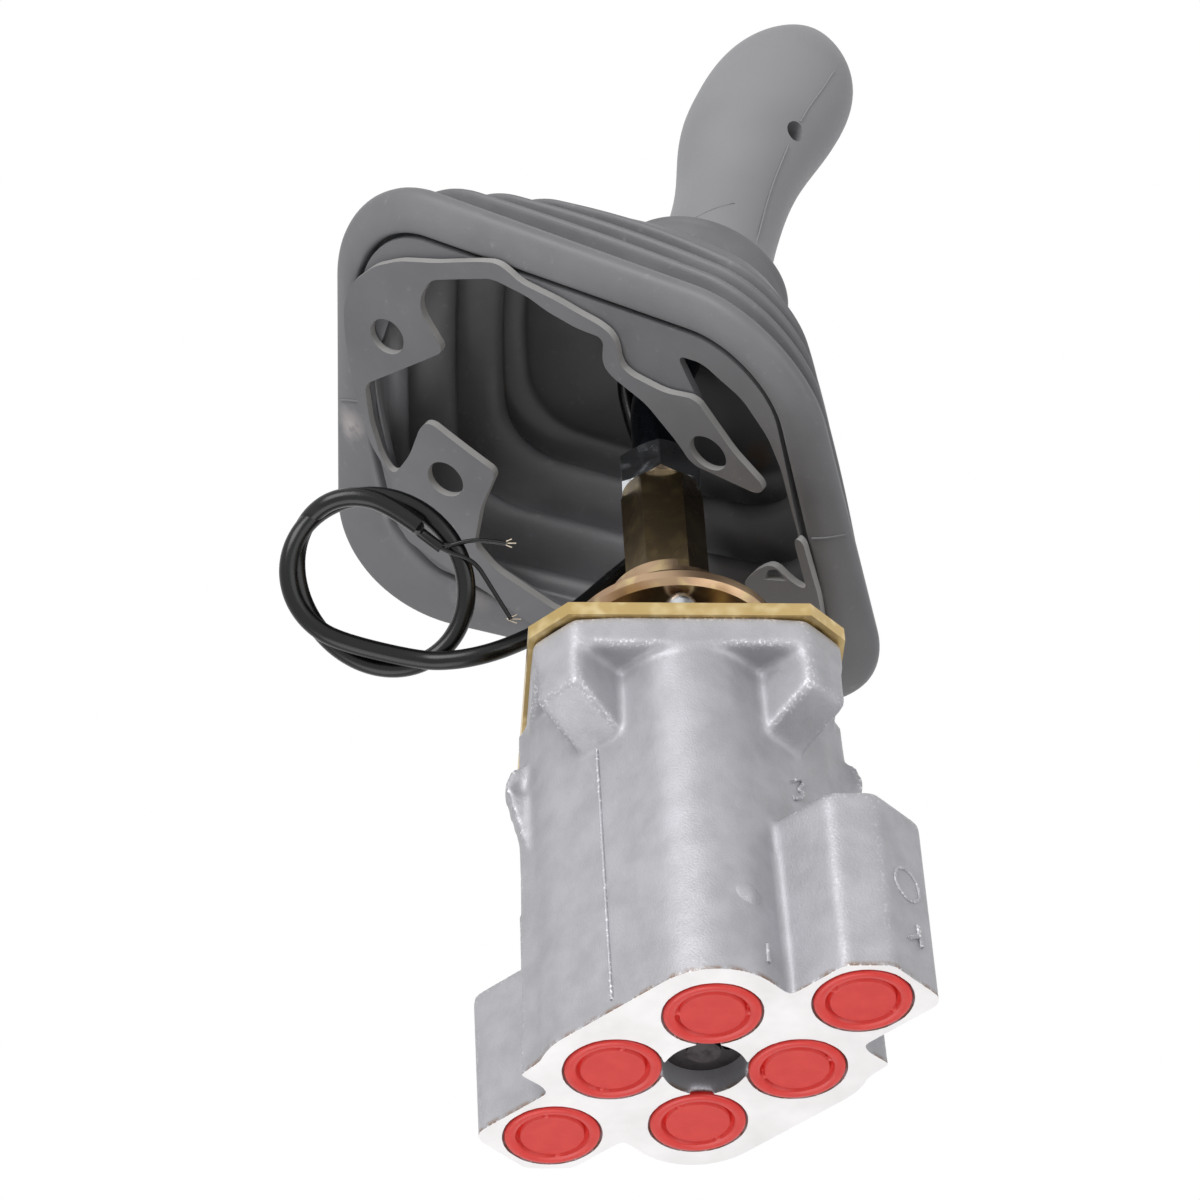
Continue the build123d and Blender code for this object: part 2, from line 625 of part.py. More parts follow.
def rod_path(end):
    """Straight up out of the coupling, one bend, then along the grip."""
    top = GRIP_NECK + GRIP_DIR * end
    return FilletPolyline((0, 0, ROD_FOOT_Z), (0, 0, ROD_BEND_Z), (top.X, top.Y, top.Z), radius=ROD_BEND_R)


def bent_bar(radius, end):
    return sweep(Pos(0, 0, ROD_FOOT_Z) * Circle(radius), path=rod_path(end))


# Grip, horn button, switch
def grip_form():
    """Moulded grip: a round neck that swells into an offset palm and closes in a dome."""
    neck = extrude(grip_plane(-GRIP_TAIL) * Circle(GRIP_NECK_R), GRIP_TAIL)
    sections = [grip_plane(0) * Circle(GRIP_NECK_R)]
    for along, offset, half_width, half_depth in GRIP_STATIONS:
        sections.append(grip_plane(along, -offset) * Ellipse(half_width, half_depth))
    tip = grip_plane(GRIP_TOP, -GRIP_STATIONS[-1][1]).origin
    return neck + loft([section.face() for section in sections] + [Vertex(tip)])


def button_plane(out):
    """Plane across the button's axis, which points up and to the rear out of the grip's head."""
    tilt = radians(BUTTON_TILT)
    axis = GRIP_DIR * sin(tilt) + Vector(0, cos(tilt), 0)
    root = GRIP_NECK + GRIP_DIR * BUTTON_AT - GRIP_SIDE * BUTTON_OFFSET
    return Plane(origin=root + axis * out, x_dir=GRIP_SIDE, z_dir=axis)


BUTTON_FOOT = BUTTON_OUT - BUTTON_LENGTH
SWITCH_TOP = BUTTON_FOOT - BUTTON_TRAVEL - SOFT


def horn_button():
    foot = button_plane(BUTTON_FOOT)
    button = extrude(foot * Circle(BUTTON_R), BUTTON_LENGTH)
    return fillet(button.faces().sort_by(Axis(foot.origin, foot.z_dir))[-1].edges(), BUTTON_EDGE_R)


def horn_switch():
    """Push switch seated in the floor of the button's well."""
    body = extrude(button_plane(SWITCH_TOP - SWITCH_LENGTH) * Circle(SWITCH_R), SWITCH_LENGTH - SOFT)
    middle = button_plane(SWITCH_TOP - SWITCH_LENGTH / 2)
    return body + extrude(middle * Circle(SWITCH_PLUNGER_R), SWITCH_LENGTH / 2)


def grip():
    form = grip_form()
    form -= bent_bar(ROD_R + SEAT, ROD_IN_GRIP + ROD_SEAT_GAP)
    form -= extrude(button_plane(SWITCH_TOP) * Circle(BUTTON_R + RUN), BUTTON_OUT)
    form -= extrude(button_plane(SWITCH_TOP - SWITCH_LENGTH) * Circle(SWITCH_R + SEAT), SWITCH_LENGTH)
    form -= extrude(grip_plane(-GRIP_TAIL, -LEAD_AT) * Circle(GROMMET_SPIGOT_R + SEAT), GROMMET_SPIGOT)
    turn = radians(GRIP_HOLE_TURN)
    way = GRIP_SIDE * sin(turn) - Vector(0, cos(turn), 0)
    front = Plane(origin=grip_plane(GRIP_HOLE_AT, GRIP_HOLE_X).origin + way * GRIP_HOLE_DEPTH, z_dir=way)
    return form - extrude(front * Circle(GRIP_HOLE_R), 2 * GRIP_HOLE_DEPTH)


# Two-core lead: out of the grip's foot, down inside the boot, then off to the left
LEAD_POINTS = [(-9.5, 4, 114), (-15, 8, 94), (-16.5, 9, 74), (-14.2, 8.5, 55),
               (-24.3, 8, 39.7), (-37.3, 8, 29.5), (-47, 7, 23.6), (-57, 8.5, 22.2), (-66, 10.5, 24)]
CORE_POINTS = [[(-66, -11.5, 49.5), (-60, -9, 46), (-54, -10.5, 47.2), (-48.5, -11, 47.2),
                (-43.2, -10.9, 46.2)],
               [(-66, -11, 48.5), (-59, -8.5, 45.3), (-51.5, -7.5, 43.3), (-47.5, -3.5, 38.4),
                (-41.8, 2.2, 31.3)]]
COIL_CENTRE = (-76.0, -2.0, 40.0)
COIL_AXIS = (0.077, 0.746, 0.662)
COIL_R = 23.0
COIL_WIRE_R = 6.0
ARC_SHARE = 0.45


def tube(points, diameter):
    """Round tube along straight runs, joined by arcs as large as the shorter run allows."""
    spots = [Vector(*p) for p in points]
    radii = []
    for before, corner, after in zip(spots, spots[1:], spots[2:]):
        into = corner - before
        away = after - corner
        turn = radians(into.get_angle(away))
        radii.append(ARC_SHARE * min(into.length, away.length) / tan(turn / 2))
    path = FilletPolyline(*spots, radius=radii)
    start = Plane(origin=path @ 0, z_dir=path % 0)
    solid = sweep(start * Circle(diameter / 2), path=path)
    share = solid.volume / (pi * diameter ** 2 / 4 * path.length)
    rounded = [round(radius, 1) for radius in radii]
    print("tube length", round(path.length, 1), "radii", rounded, "volume share", round(share, 4))
    return solid


def lead_run():
    exit_at = grip_plane(-GRIP_TAIL - GROMMET_LENGTH, -LEAD_AT).origin
    straight = exit_at - GRIP_DIR * LEAD_STRAIGHT
    return tube([tuple(exit_at), tuple(straight)] + LEAD_POINTS, LEAD_D)


def lead_coil():
    """Outer shape of the two loose turns that the lead ends in."""
    return Plane(origin=COIL_CENTRE, z_dir=COIL_AXIS) * Torus(COIL_R, COIL_WIRE_R)


def lead_grommet():
    """Tapered sleeve pressed into the grip's foot, where the lead leaves it."""
    foot = grip_plane(-GRIP_TAIL - GROMMET_LENGTH, -LEAD_AT)
    mouth = grip_plane(-GRIP_TAIL, -LEAD_AT)
    sleeve = loft([foot * Circle(GROMMET_SPIGOT_R), mouth * Circle(GROMMET_R)])
    return sleeve + extrude(mouth * Circle(GROMMET_SPIGOT_R), GROMMET_SPIGOT - SOFT)


# Boot
def lip_flat(u, v):
    """Place in the lip's mean plane, u along its side and v across: the rear side is flared wider."""
    reach = u * (1 + 2 * v / BOOT_D * 2 * BOOT_FLARE / BOOT_W)
    return Vector(*BOOT_RIM) + Vector(*BOOT_SIDE) * reach + Vector(*BOOT_ACROSS) * v


def lip_point(u, v, lift):
    """Place on the lip as it hangs: opposite corners twisted up and down, then lifted along the boot."""
    twist = BOOT_TWIST * (2 * u / BOOT_W) * (2 * v / BOOT_D)
    return lip_flat(u, v) + Vector(*BOOT_AXIS) * (twist + lift)


def lip_places(grow):
    """Even places round the lip's outline, grown outwards."""
    outline = RectangleRounded(BOOT_W + 2 * grow, BOOT_D + 2 * grow, BOOT_CORNER_R + grow).face().outer_wire()
    return [outline @ (k / BOOT_RING_POINTS) for k in range(BOOT_RING_POINTS)]


def boot_ring(share, grow, lift=0.0):
    """Smooth closed line round the boot, from the lip at share 0 to a circle on the grip's neck at 1."""
    points = []
    for place in lip_places(grow):
        turn = atan2(place.Y / BOOT_D, place.X / BOOT_W)
        round_neck = GRIP_SIDE * cos(turn) + Vector(0, 1, 0) * sin(turn)
        neck = GRIP_NECK + round_neck * (BOOT_NECK_R + grow)
        points.append(lip_point(place.X, place.Y, lift) * (1 - share) + neck * share)
    return Wire(Spline(*points, periodic=True).edges())


def boot_levels():
    """Outer wall from the lip up: ridges and valleys in turn, then the cone and the neck ring."""
    folds = [(BOOT_FOLD_FIRST + k * BOOT_FOLD_PITCH / 2, BOOT_FOLD_HALF * (1 if k % 2 == 0 else -1))
             for k in range(2 * BOOT_FOLDS + 1)]
    return [BOOT_LIP] + folds + BOOT_CONE


def boot_shell():
    """Closed wall: outer side up, neck ring across, inner side down and the skirt's underside back to the lip."""
    collar = GRIP_NECK_R + SOFT - BOOT_NECK_R
    outer = boot_levels()
    inner = [(share, collar if share >= BOOT_COLLAR_FROM else grow - BOOT_WALL) for share, grow in outer]
    skirt = [outer[0]] + [(0.0, grow, lift) for grow, lift in BOOT_SKIRT] + [inner[0]]
    sides = (outer, inner, [outer[-1], inner[-1]], skirt)
    walls = [Shell.make_loft([boot_ring(*level) for level in levels], ruled=True) for levels in sides]
    return Solid(Shell([face for wall in walls for face in wall.faces()]))


def flange_sheet():
    """Thin flange under the skirt, twisted with the lip and cut to four tabs, three of them punched."""
    axis = Vector(*BOOT_AXIS)
    outline = make_face(Spline(*[lip_flat(place.X, place.Y) for place in lip_places(-SHEET_INSET)], periodic=True))
    edge = make_face(Polyline(*[lip_flat(u, v) for u, v in SHEET_EDGE], close=True))
    sheet = extrude(outline, 2 * BOOT_TWIST, dir=axis, both=True) - extrude(edge, 2 * BOOT_TWIST, dir=axis, both=True)
    for u, v in TAB_HOLES:
        sheet -= Plane(origin=lip_flat(u, v), z_dir=axis) * Cylinder(TAB_HOLE_R, 4 * BOOT_TWIST)
    ends = []
    for u in (-BOOT_W / 2, BOOT_W / 2):
        low = [lip_point(u, v, SHEET_LIFT) for v in (-BOOT_D / 2, BOOT_D / 2)]
        high = [place + axis * SHEET_T for place in reversed(low)]
        ends.append(make_face(Polyline(*low, *high, close=True)))
    return sheet & loft(ends, ruled=True)


def boot():
    return boot_shell() + flange_sheet()


# Every node
save("valve_body", valve_body())
save("mounting_plate", mounting_plate())
save("plate_screws", plate_screws())
save("port_plugs", port_plugs())
save("retainer", retainer())
save("o_rings", group([at_way(way, o_ring()) for way in WAYS]))
save("rod_wipers", group([at_way(way, rod_wiper()) for way in WAYS]))
for way in WAYS:
    save(f"bush_{way}", at_way(way, guide_bush()))
    save(f"push_rod_{way}", at_way(way, push_rod()))
    save(f"spring_seat_{way}", at_way(way, spring_seat()))
    save(f"return_spring_{way}", at_way(way, coil_spring(
        RETURN_SPRING_R, RETURN_WIRE_R, CHAMBER_Z, SPRING_TOP_Z, RETURN_TURNS)))
    save(f"balance_spring_{way}", at_way(way, coil_spring(
        BALANCE_SPRING_R, BALANCE_WIRE_R, SPOOL_TOP_Z, SPRING_TOP_Z, BALANCE_TURNS)))
    save(f"spool_{way}", at_way(way, spool()))
save("joint_base", joint_base())
save("joint_cross", joint_cross())
save("joint_fork", joint_fork())
save("swash_disc", swash_disc())
save("step_washer", step_washer())
save("hex_coupling", hex_coupling())
save("lock_nut", lock_nut())
save("lever_rod", bent_bar(ROD_R, ROD_IN_GRIP))
save("grip", grip())
save("horn_button", horn_button())
save("horn_switch", horn_switch())
save("boot", boot())
save("lead_grommet", lead_grommet())
save("lead_run", lead_run())
save("lead_coil", lead_coil())
save("lead_cores", group([tube(points, CORE_D) for points in CORE_POINTS]))
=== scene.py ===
"""Looks of a hydraulic pilot-control joystick: casting, plated lever parts, rubber boot, grip and horn lead.

Places and sizes are in millimetres in the part's own frame, and become metres where a mesh is made.
"""

import bmesh
import bpy
import numpy as np
from mathutils import Matrix, Vector

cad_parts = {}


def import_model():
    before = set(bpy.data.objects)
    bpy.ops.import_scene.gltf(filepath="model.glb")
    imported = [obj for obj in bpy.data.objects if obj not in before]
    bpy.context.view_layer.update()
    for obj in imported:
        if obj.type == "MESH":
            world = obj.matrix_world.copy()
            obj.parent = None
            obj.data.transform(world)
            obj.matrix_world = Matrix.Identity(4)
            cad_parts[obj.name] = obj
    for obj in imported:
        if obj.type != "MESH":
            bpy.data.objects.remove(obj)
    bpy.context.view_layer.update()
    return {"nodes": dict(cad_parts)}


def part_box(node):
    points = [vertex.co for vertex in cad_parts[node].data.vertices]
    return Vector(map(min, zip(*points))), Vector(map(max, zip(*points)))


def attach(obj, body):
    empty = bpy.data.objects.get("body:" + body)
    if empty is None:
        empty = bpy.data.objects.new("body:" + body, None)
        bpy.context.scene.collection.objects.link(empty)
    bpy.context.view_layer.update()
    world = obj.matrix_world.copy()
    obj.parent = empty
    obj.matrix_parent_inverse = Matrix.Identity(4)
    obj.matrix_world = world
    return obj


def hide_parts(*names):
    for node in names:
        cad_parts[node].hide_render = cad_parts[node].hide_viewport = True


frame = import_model()
nodes = frame["nodes"]

MM = 0.001

# Camera: where it stands and the way it looks, right and down in the picture; its far limit is in metres
CAMERA_AT = (-110.90, -893.28, -755.98)
VIEW_RIGHT = np.array((0.99699, -0.06183, -0.04680))
VIEW_DOWN = np.array((0.00600, 0.66315, -0.74847))
VIEW_FORWARD = np.array((0.07731, 0.74593, 0.66152))
LENS = 137.01
SENSOR = 36.0
CLIP_END = 20.0

# Stage: lamps by right, up, towards the camera, width and watts
BODY_MIDDLE = np.array((0.0, 0.0, 20.0))
LAMPS = {"key": (-500, 700, 600, 700, 9.5),
         "fill": (700, 100, 700, 900, 3.6),
         "low": (-200, -800, 500, 700, 3.9)}
WORLD_LIGHT = 0.30
FLOOR_HALF = 1500.0
FLOOR_GAP = 0.2
FLOOR_GLOW = 0.45

# Levels of the frame
PORT_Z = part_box("valve_body")[0].z / MM
FLOOR_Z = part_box("port_plugs")[0].z / MM - FLOOR_GAP

# Steps of round shapes, and how near two points are merged
ARC_STEPS = 24
CORD_STEPS = 8
CORD_SIDES = 6
CAD_MERGE = 0.002
POINT_MERGE = 0.001
SHEET_MERGE = 0.01

# Casting: voxel and rounds of softening, metal to mill off, and where the flange's corners are rounded more,
# from that sum of x and y outwards and down to that depth under the plate
CAST_VOXEL = 1.0
CAST_SOFTEN = 5
SOFTEN_BY = 0.5
MILL_ALLOWANCE = 2.0
MILL_NEAR = 0.01
CORNER_FROM = 58.0
CORNER_FADE = 8.0
CORNER_LOW = 26.0
CORNER_LOW_FADE = 6.0
CORNER_SOFTEN = 10
OIL_REACH = 1.6

# Raised lines: width, and points of the picture, which is PICTURE wide
PICTURE = 1200
LINE_PROUD = 0.15
CAST_LINES = [(0.9, [(597, 750), (600, 800), (603, 850), (606, 900), (609, 950), (612, 1000)]),
              (1.2, [(767, 945), (768, 963)]),
              (1.3, [(917, 926), (919, 937), (921, 948)]),
              (1.3, [(909, 938), (919, 937)]),
              (1.2, [(792, 782), (799, 778), (803, 784), (797, 790), (803, 794), (800, 800), (793, 798)])]
BOOT_LINES = [(0.7, [(342, 400), (349, 400), (356, 401), (363, 402)]),
              (0.7, [(812, 538), (824, 538), (836, 536), (846, 534)])]
GRIP_LINES = [(0.5, [(751, 263), (757, 240), (763, 217), (769, 195), (775, 178), (781, 163), (788, 146)]),
              (0.5, [(800, 122), (808, 108), (817, 96), (827, 82), (834, 71)]),
              (0.5, [(681, 229), (690, 221), (704, 213), (718, 207), (734, 203)])]

# Cast boss and ring: where the picture shows them, and their sizes
BOSS_AT = (749, 893)
BOSS_R = 4.4
BOSS_PROUD = 0.9
BOSS_ROWS = 12
BOSS_COLUMNS = 48
RING_AT = (907, 885)
RING_R = 4.6
RING_WIRE = 0.9
RING_POINTS = 33

# Port plugs: radius and height from the dished middle over the rim to the spigot, and the groove's rows
PORT_CIRCLE = 22.3
LOBE_PORT = (35.4, -27.5)
PLUG_STAND = 0.5
PLUG_PROFILE = [(0.0, 0.5), (3.0, 0.5), (6.0, 0.48), (7.6, 0.46), (7.8, 0.45), (7.95, 0.45), (8.4, 0.45),
                (8.85, 0.45), (9.0, 0.42), (9.3, 0.3), (9.8, 0.08), (10.5, 0.0), (11.2, 0.1),
                (11.6, 0.35), (11.8, 0.8), (11.8, 1.6), (11.4, 1.9), (6.5, 1.9), (6.5, 9.6), (5.2, 9.6),
                (5.2, 1.9), (0.0, 1.9)]
PLUG_COLUMNS = 128
GROOVE_ROWS = (5, 6, 7)
GROOVE_DEPTH = 1.5
GROOVE_BRIDGE = 6.0
PLUG_TURN = 0.9

# Grip: its neck, and the way that it leans
LEAN = np.radians(21.0)
GRIP_NECK = np.array((21.0, 0.0, 162.0))
GRIP_DIR = np.array((np.sin(LEAN), 0.0, np.cos(LEAN)))
GRIP_SIDE = np.array((np.cos(LEAN), 0.0, -np.sin(LEAN)))
GRIP_BACK = np.array((0.0, 1.0, 0.0))

# Boot: corners of its lip in the order upper left, upper right, lower right, lower left of the picture
LIP_CORNERS = np.array(((-86.2, -53.6, 143.5), (26.4, -84.5, 52.8),
                        (63.7, 44.5, 31.9), (-83.5, 72.5, 102.2)))
LIP_HALF_W = 75.0
LIP_HALF_D = 67.0
LIP_CORNER_R = 32.0
LIP_COLUMNS = 288
BOOT_NORMAL = np.array((0.542, 0.118, 0.832))
BOOT_WALL = 2.6
NECK_RING_R = 25.0
NECK_LOWER = 9.0
NECK_ASIDE = 2.0
BOOT_NECK = GRIP_NECK - GRIP_DIR * NECK_LOWER - GRIP_SIDE * NECK_ASIDE

# Wall of the boot: folds and the cove under the neck ring, by share of the boot's height
RISE_FROM = 0.08
RISE_TO = 0.965
RISE_ROWS = 118
FOLD_PITCH = 0.17
FOLD_FIRST = 0.115
FOLD_LAST = 0.59
FOLD_FADE = 0.02
FOLD_HALF = 5.0
FOLD_INSET = 1.8
FOLD_SHARP = 1.4
NECK_COVE = 6.5
COVE_AT = 0.86
COVE_SPREAD = 0.09
# Neck ring from inside over its top to outside: share of the height, growth outwards
NECK_RING = [(0.985, -9.3), (1.012, -9.0), (1.02, -5.0), (1.012, -1.0), (0.995, 0.0), (0.98, -0.4)]
NECK_RING_STEPS = 5
# Underside of the skirt from the lip inwards: growth outwards, height along the boot
SKIRT = [(0.8, 2.2), (1.2, 0.6), (0.6, -1.2), (-1.6, -3.0), (-4.4, -4.6), (-7.2, -5.4), (-8.6, -4.8),
         (-9.2, -2.6), (-9.8, -1.2), (-10.6, -2.4), (-11.2, -2.4), (-11.4, -0.8)]
SKIRT_STEPS = 6
SKIRT_WIDER = 1.2
SKIRT_WIDEST_AT = 2.35
SKIRT_SPREAD = 0.55
# Worn places of the boot: middle, reach, share of colour at the middle, and the colour
BOOT_WEAR = [((-82.6, 16.0, 114.0), 7.0, 0.75, "#b8b0ae"), ((-49.0, 51.0, 84.0), 8.0, 0.5, "#a39c9a"),
             ((31.0, 28.0, 113.5), 7.0, 0.8, "#7a5f45")]

# Mounting flange: a web from the skirt inwards and a sheet on it, cut to tabs; places on the lip's surface
WEB_EDGE = -10.2
WEB_HEIGHT = -4.0
WEB_INSIDE = [(-63, -10), (-52, -40), (-46, -49), (-27.8, -53.5), (-19.3, -56.2), (-8.1, -54.6),
              (-1.9, -52), (7.4, -50), (17.5, -49.5), (17.5, -41), (20, -38), (28, -32.5), (36, -30),
              (42, -34), (37.3, -48.4), (45, -48.6), (55.6, -40.5), (61, -30.1), (63.2, -20.1), (64.2, 0),
              (64.3, 18), (63, 26), (60, 36), (53, 46), (44, 49), (20, 53), (-10.2, 50.5), (-26.8, 43),
              (-36, 36), (-48, 30), (-56.5, 20), (-60, 13.6), (-62.8, 3.5)]
SHEET_HEIGHT = -6.6
SHEET_T = 2.2
SHEET_CELL = 4.0
SHEET_REACH = 72.0
SHEET_CORNER = 1.4
SHEET_WAVE = 0.5
SHEET_WAVE_U = 13.0
SHEET_WAVE_V = 11.0
SHEET_SHARP = np.radians(40.0)
SIDE_FACE = 0.5
SHEET_EDGE = [(64.2, 0), (64.4, 18), (60.7, 16.9), (56.1, 11.6), (50.9, 15.4), (45.6, 22), (52, 34),
              (44, 46), (20, 52), (-10.2, 48.9), (-26.8, 40.5), (-32.3, 34), (-29.2, 20.5), (-23.4, 7.4),
              (-43.4, -2.5), (-46.3, 0), (-50.1, 10.4), (-55, 18), (-58.7, 13.6), (-62.1, 3.5),
              (-63.4, -8.1), (-37.2, -26.4), (-43.7, -36.4), (-44, -40.9), (-40.3, -47.6), (-27.8, -51.9),
              (-19.3, -54.9), (-8.1, -53.1), (-1.9, -50.4), (7.4, -48.3), (15.9, -48), (14.4, -40.3),
              (16.1, -37.1), (26.6, -31.1), (34, -21.3), (37.4, -15), (56.4, -11.7), (58.8, -14.8),
              (50.8, -23.6)]
SHEET_RIM = [(66.8, 0), (67.2, 19), (66, 34), (56, 48), (30, 55), (-17.8, 55.6), (-30.2, 48.2),
             (-40.5, 43.9), (-52.1, 37.4), (-54.9, 26.8), (-55.5, 19.5), (-62, 10), (-66, -2),
             (-68.9, -21.1), (-69.2, -30.5), (-66.4, -38.9), (-58.9, -46.1), (-50.5, -50.2),
             (-38.1, -53.5), (-23, -58.9), (-17.1, -60.5), (-13.5, -59.1), (-10, -56.7), (1.9, -54.8),
             (8.7, -53.1), (15.2, -51.8), (19, -49.7), (20, -45.9), (19.9, -41.8), (22.3, -39.2),
             (33, -36.8), (42.5, -37.8)]
TAB_HOLES = [(-55.2, -25.8), (-39.3, 14.5), (43.1, -20.6)]
TAB_HOLE_R = 5.3
TAB_HOLE_POINTS = 48
TAB_SLOT = [(53.9, 14.6), (56.8, 13.2), (59.2, 16.6), (52.2, 18.4)]
TAB_SLOT_CORNER = 0.5
EASE_SHARE = 0.3
EASE_AGAIN = 2.4

# Lead: where it leaves the grip, and its route to the loop
LEAD_D = 5.0
LEAD_UNDER_NECK = 20.0
LEAD_ASIDE = 11.5
LEAD_START = GRIP_NECK - GRIP_DIR * LEAD_UNDER_NECK - GRIP_SIDE * LEAD_ASIDE
LEAD_STRAIGHT = 15.5
LEAD_POINTS = [(-7.5, 5, 124), (-5, 12, 113), (0, 16, 98), (1, 16.5, 80), (-4, 15, 66), (-13.5, 12, 54),
               (-21.3, 10, 43.6), (-28.9, 9, 36), (-37.3, 8, 29.5), (-47, 7, 23.6), (-57, 8.5, 22.2),
               (-66, 10.5, 24)]
# Loop: its turns, then its middle, half sizes and slant in the picture, each with its change in a turn
LOOP_CENTRE = np.array((-76.0, -2.0, 40.0))
LOOP_FROM = 0.09
LOOP_TURNS = 1.60
LOOP_POINTS = 26
LOOP_MIDDLE = (-0.2, 3.5)
LOOP_DROP = 3.5
LOOP_HALF_W = 24.2
LOOP_NARROWS = 1.6
LOOP_HALF_H = 20.0
LOOP_GROWS = 2.8
LOOP_SKEW = 2.8
LOOP_SLANT = -3.1
LOOP_SWINGS = 5.0
LOOP_DEPTH = 2.9
LOOP_CROSSINGS = (0.38, 1.37)
LOOP_CROSS_SPAN = 0.05
# Stripped end: a sheath, two cores and the strands of each
CORE_D = 1.2
SHEATH_D = 3.0
STRANDS = 4
STRAND_D = 0.35
STRAND_SUNK = 1.0
STRAND_REACH = 1.6
STRAND_SPLAY = 1.1
STRAND_BEND = 0.4
CORE_POINTS = [[(-66, -11.5, 49.5), (-60, -9, 46), (-54, -10.5, 47.2), (-48.5, -11, 47.2),
                (-43.2, -10.9, 46.2)],
               [(-66, -11, 48.5), (-59, -8.5, 45.3), (-51.5, -7.5, 43.3), (-47.5, -3.5, 38.4),
                (-41.8, 2.2, 31.3)]]

# Share of fine detail in every noise pattern
PATTERN_ROUGH = 0.6


# Shapes as arrays
def through(points, steps):
    """Catmull-Rom curve through the points: each span blends its two ends and the slopes there."""
    p = np.asarray(points, float)
    ends = np.vstack([2 * p[:1] - p[1:2], p, 2 * p[-1:] - p[-2:-1]])
    t = np.linspace(0, 1, steps, endpoint=False)[None, :, None]
    a, b, c, d = (ends[k:len(p) - 1 + k, None, :] for k in range(4))
    curve = b + 0.5 * t * (c - a + t * (2 * a - 5 * b + 4 * c - d + t * (3 * (b - c) + d - a)))
    return np.vstack([curve.reshape(-1, p.shape[1]), p[-1:]])


def rounded_outline(half_w, half_d, corner, count):
    """Closed rounded rectangle: four quarter arcs joined by sides, then spaced evenly along its length."""
    angle = np.arange(4)[:, None] * np.pi / 2 + np.linspace(0, np.pi / 2, ARC_STEPS)[None, :]
    sx = np.array((1, -1, -1, 1))[:, None]
    sy = np.array((1, 1, -1, -1))[:, None]
    loop = np.stack([sx * (half_w - corner) + corner * np.cos(angle),
                     sy * (half_d - corner) + corner * np.sin(angle)], -1).reshape(-1, 2)
    loop = np.vstack([loop, loop[:1]])
    along = np.concatenate([[0], np.cumsum(np.linalg.norm(np.diff(loop, axis=0), axis=1))])
    even = np.linspace(0, along[-1], count, endpoint=False)
    return np.stack([np.interp(even, along, loop[:, k]) for k in (0, 1)], -1)


def grid_faces(rows, columns, close_rows, close_columns):
    """Quads over a grid of points, row by row; a closed way joins its last line to its first."""
    i = np.arange(rows if close_rows else rows - 1)[:, None]
    j = np.arange(columns if close_columns else columns - 1)[None, :]
    i2 = (i + 1) % rows
    j2 = (j + 1) % columns
    quads = [i * columns + j, i * columns + j2, i2 * columns + j2, i2 * columns + j]
    return np.stack(quads, -1).reshape(-1, 4)


def placed_object(name, data):
    """Object at the origin that shows a mesh or a curve."""
    made = bpy.data.objects.new(name, data)
    bpy.context.scene.collection.objects.link(made)
    return made


def mesh_object(name, points, faces, material):
    """Smooth mesh object from points in millimetres."""
    mesh = bpy.data.meshes.new(name)
    mesh.from_pydata((np.asarray(points) * MM).tolist(), [], np.asarray(faces).tolist())
    mesh.update()
    mesh.shade_smooth()
    mesh.materials.append(material)
    return placed_object(name, mesh)


def read_points(mesh):
    """Points of a mesh in metres, one row each."""
    co = np.empty(len(mesh.vertices) * 3, np.float32)
    mesh.vertices.foreach_get("co", co)
    return co.reshape(-1, 3).astype(float)


def write_points(mesh, points):
    """Move the points of a mesh to places in metres."""
    mesh.vertices.foreach_set("co", points.astype(np.float32).reshape(-1))
    mesh.update()


def outward(made, merge=0.0):
    """Turn a mesh's faces outwards, after points that near are merged and the rim left open is filled."""
    bm = bmesh.new()
    bm.from_mesh(made.data)
    if merge:
        bmesh.ops.remove_doubles(bm, verts=bm.verts, dist=merge * MM)
        bmesh.ops.holes_fill(bm, edges=bm.edges)
    bmesh.ops.recalc_face_normals(bm, faces=bm.faces)
    bm.to_mesh(made.data)
    bm.free()


def spline_object(name, points, diameter, material):
    """Round cord on one NURBS line that has the points as its control points."""
    curve = bpy.data.curves.new(name, "CURVE")
    curve.dimensions = "3D"
    line = curve.splines.new("NURBS")
    line.points.add(len(points) - 1)
    co = np.column_stack([np.asarray(points) * MM, np.ones(len(points))])
    line.points.foreach_set("co", co.astype(np.float32).reshape(-1))
    line.order_u = 3
    line.use_endpoint_u = True
    line.resolution_u = CORD_STEPS
    curve.bevel_depth = diameter / 2 * MM
    curve.bevel_resolution = CORD_SIDES
    curve.use_fill_caps = True
    curve.materials.append(material)
    return placed_object(name, curve)


# Materials
def linear(colour):
    """Linear RGBA of an sRGB hex value."""
    s = np.array([int(colour[k:k + 2], 16) for k in (1, 3, 5)]) / 255
    rgb = np.where(s <= 0.04045, s / 12.92, ((s + 0.055) / 1.055) ** 2.4)
    return (*(float(c) for c in rgb), 1.0)


def feed(tree, node, inputs):
    """Set sockets by name or number: a socket is linked, anything else is a value."""
    for key, value in inputs.items():
        if isinstance(value, bpy.types.NodeSocket):
            tree.links.new(value, node.inputs[key])
        else:
            node.inputs[key].default_value = value


def add(tree, kind, inputs, out=0, **settings):
    """Add a node with its settings and links, and give back one of its outputs."""
    node = tree.nodes.new("ShaderNode" + kind)
    for name, value in settings.items():
        setattr(node, name, value)
    feed(tree, node, inputs)
    return node.outputs[out]


def blank(name):
    """New material, its tree and its shader."""
    material = bpy.data.materials.new(name)
    material.use_nodes = True
    return material, material.node_tree, material.node_tree.nodes["Principled BSDF"]


def start(name):
    """New material, its tree, its shader and the place on the piece."""
    material, tree, shader = blank(name)
    return material, tree, shader, add(tree, "TexCoord", {}, "Object")


def patches(place, size, detail):
    """Sockets of a noise whose patches are about size millimetres across."""
    return {"Vector": place, "Scale": 1 / (size * MM), "Detail": detail, "Roughness": PATTERN_ROUGH}


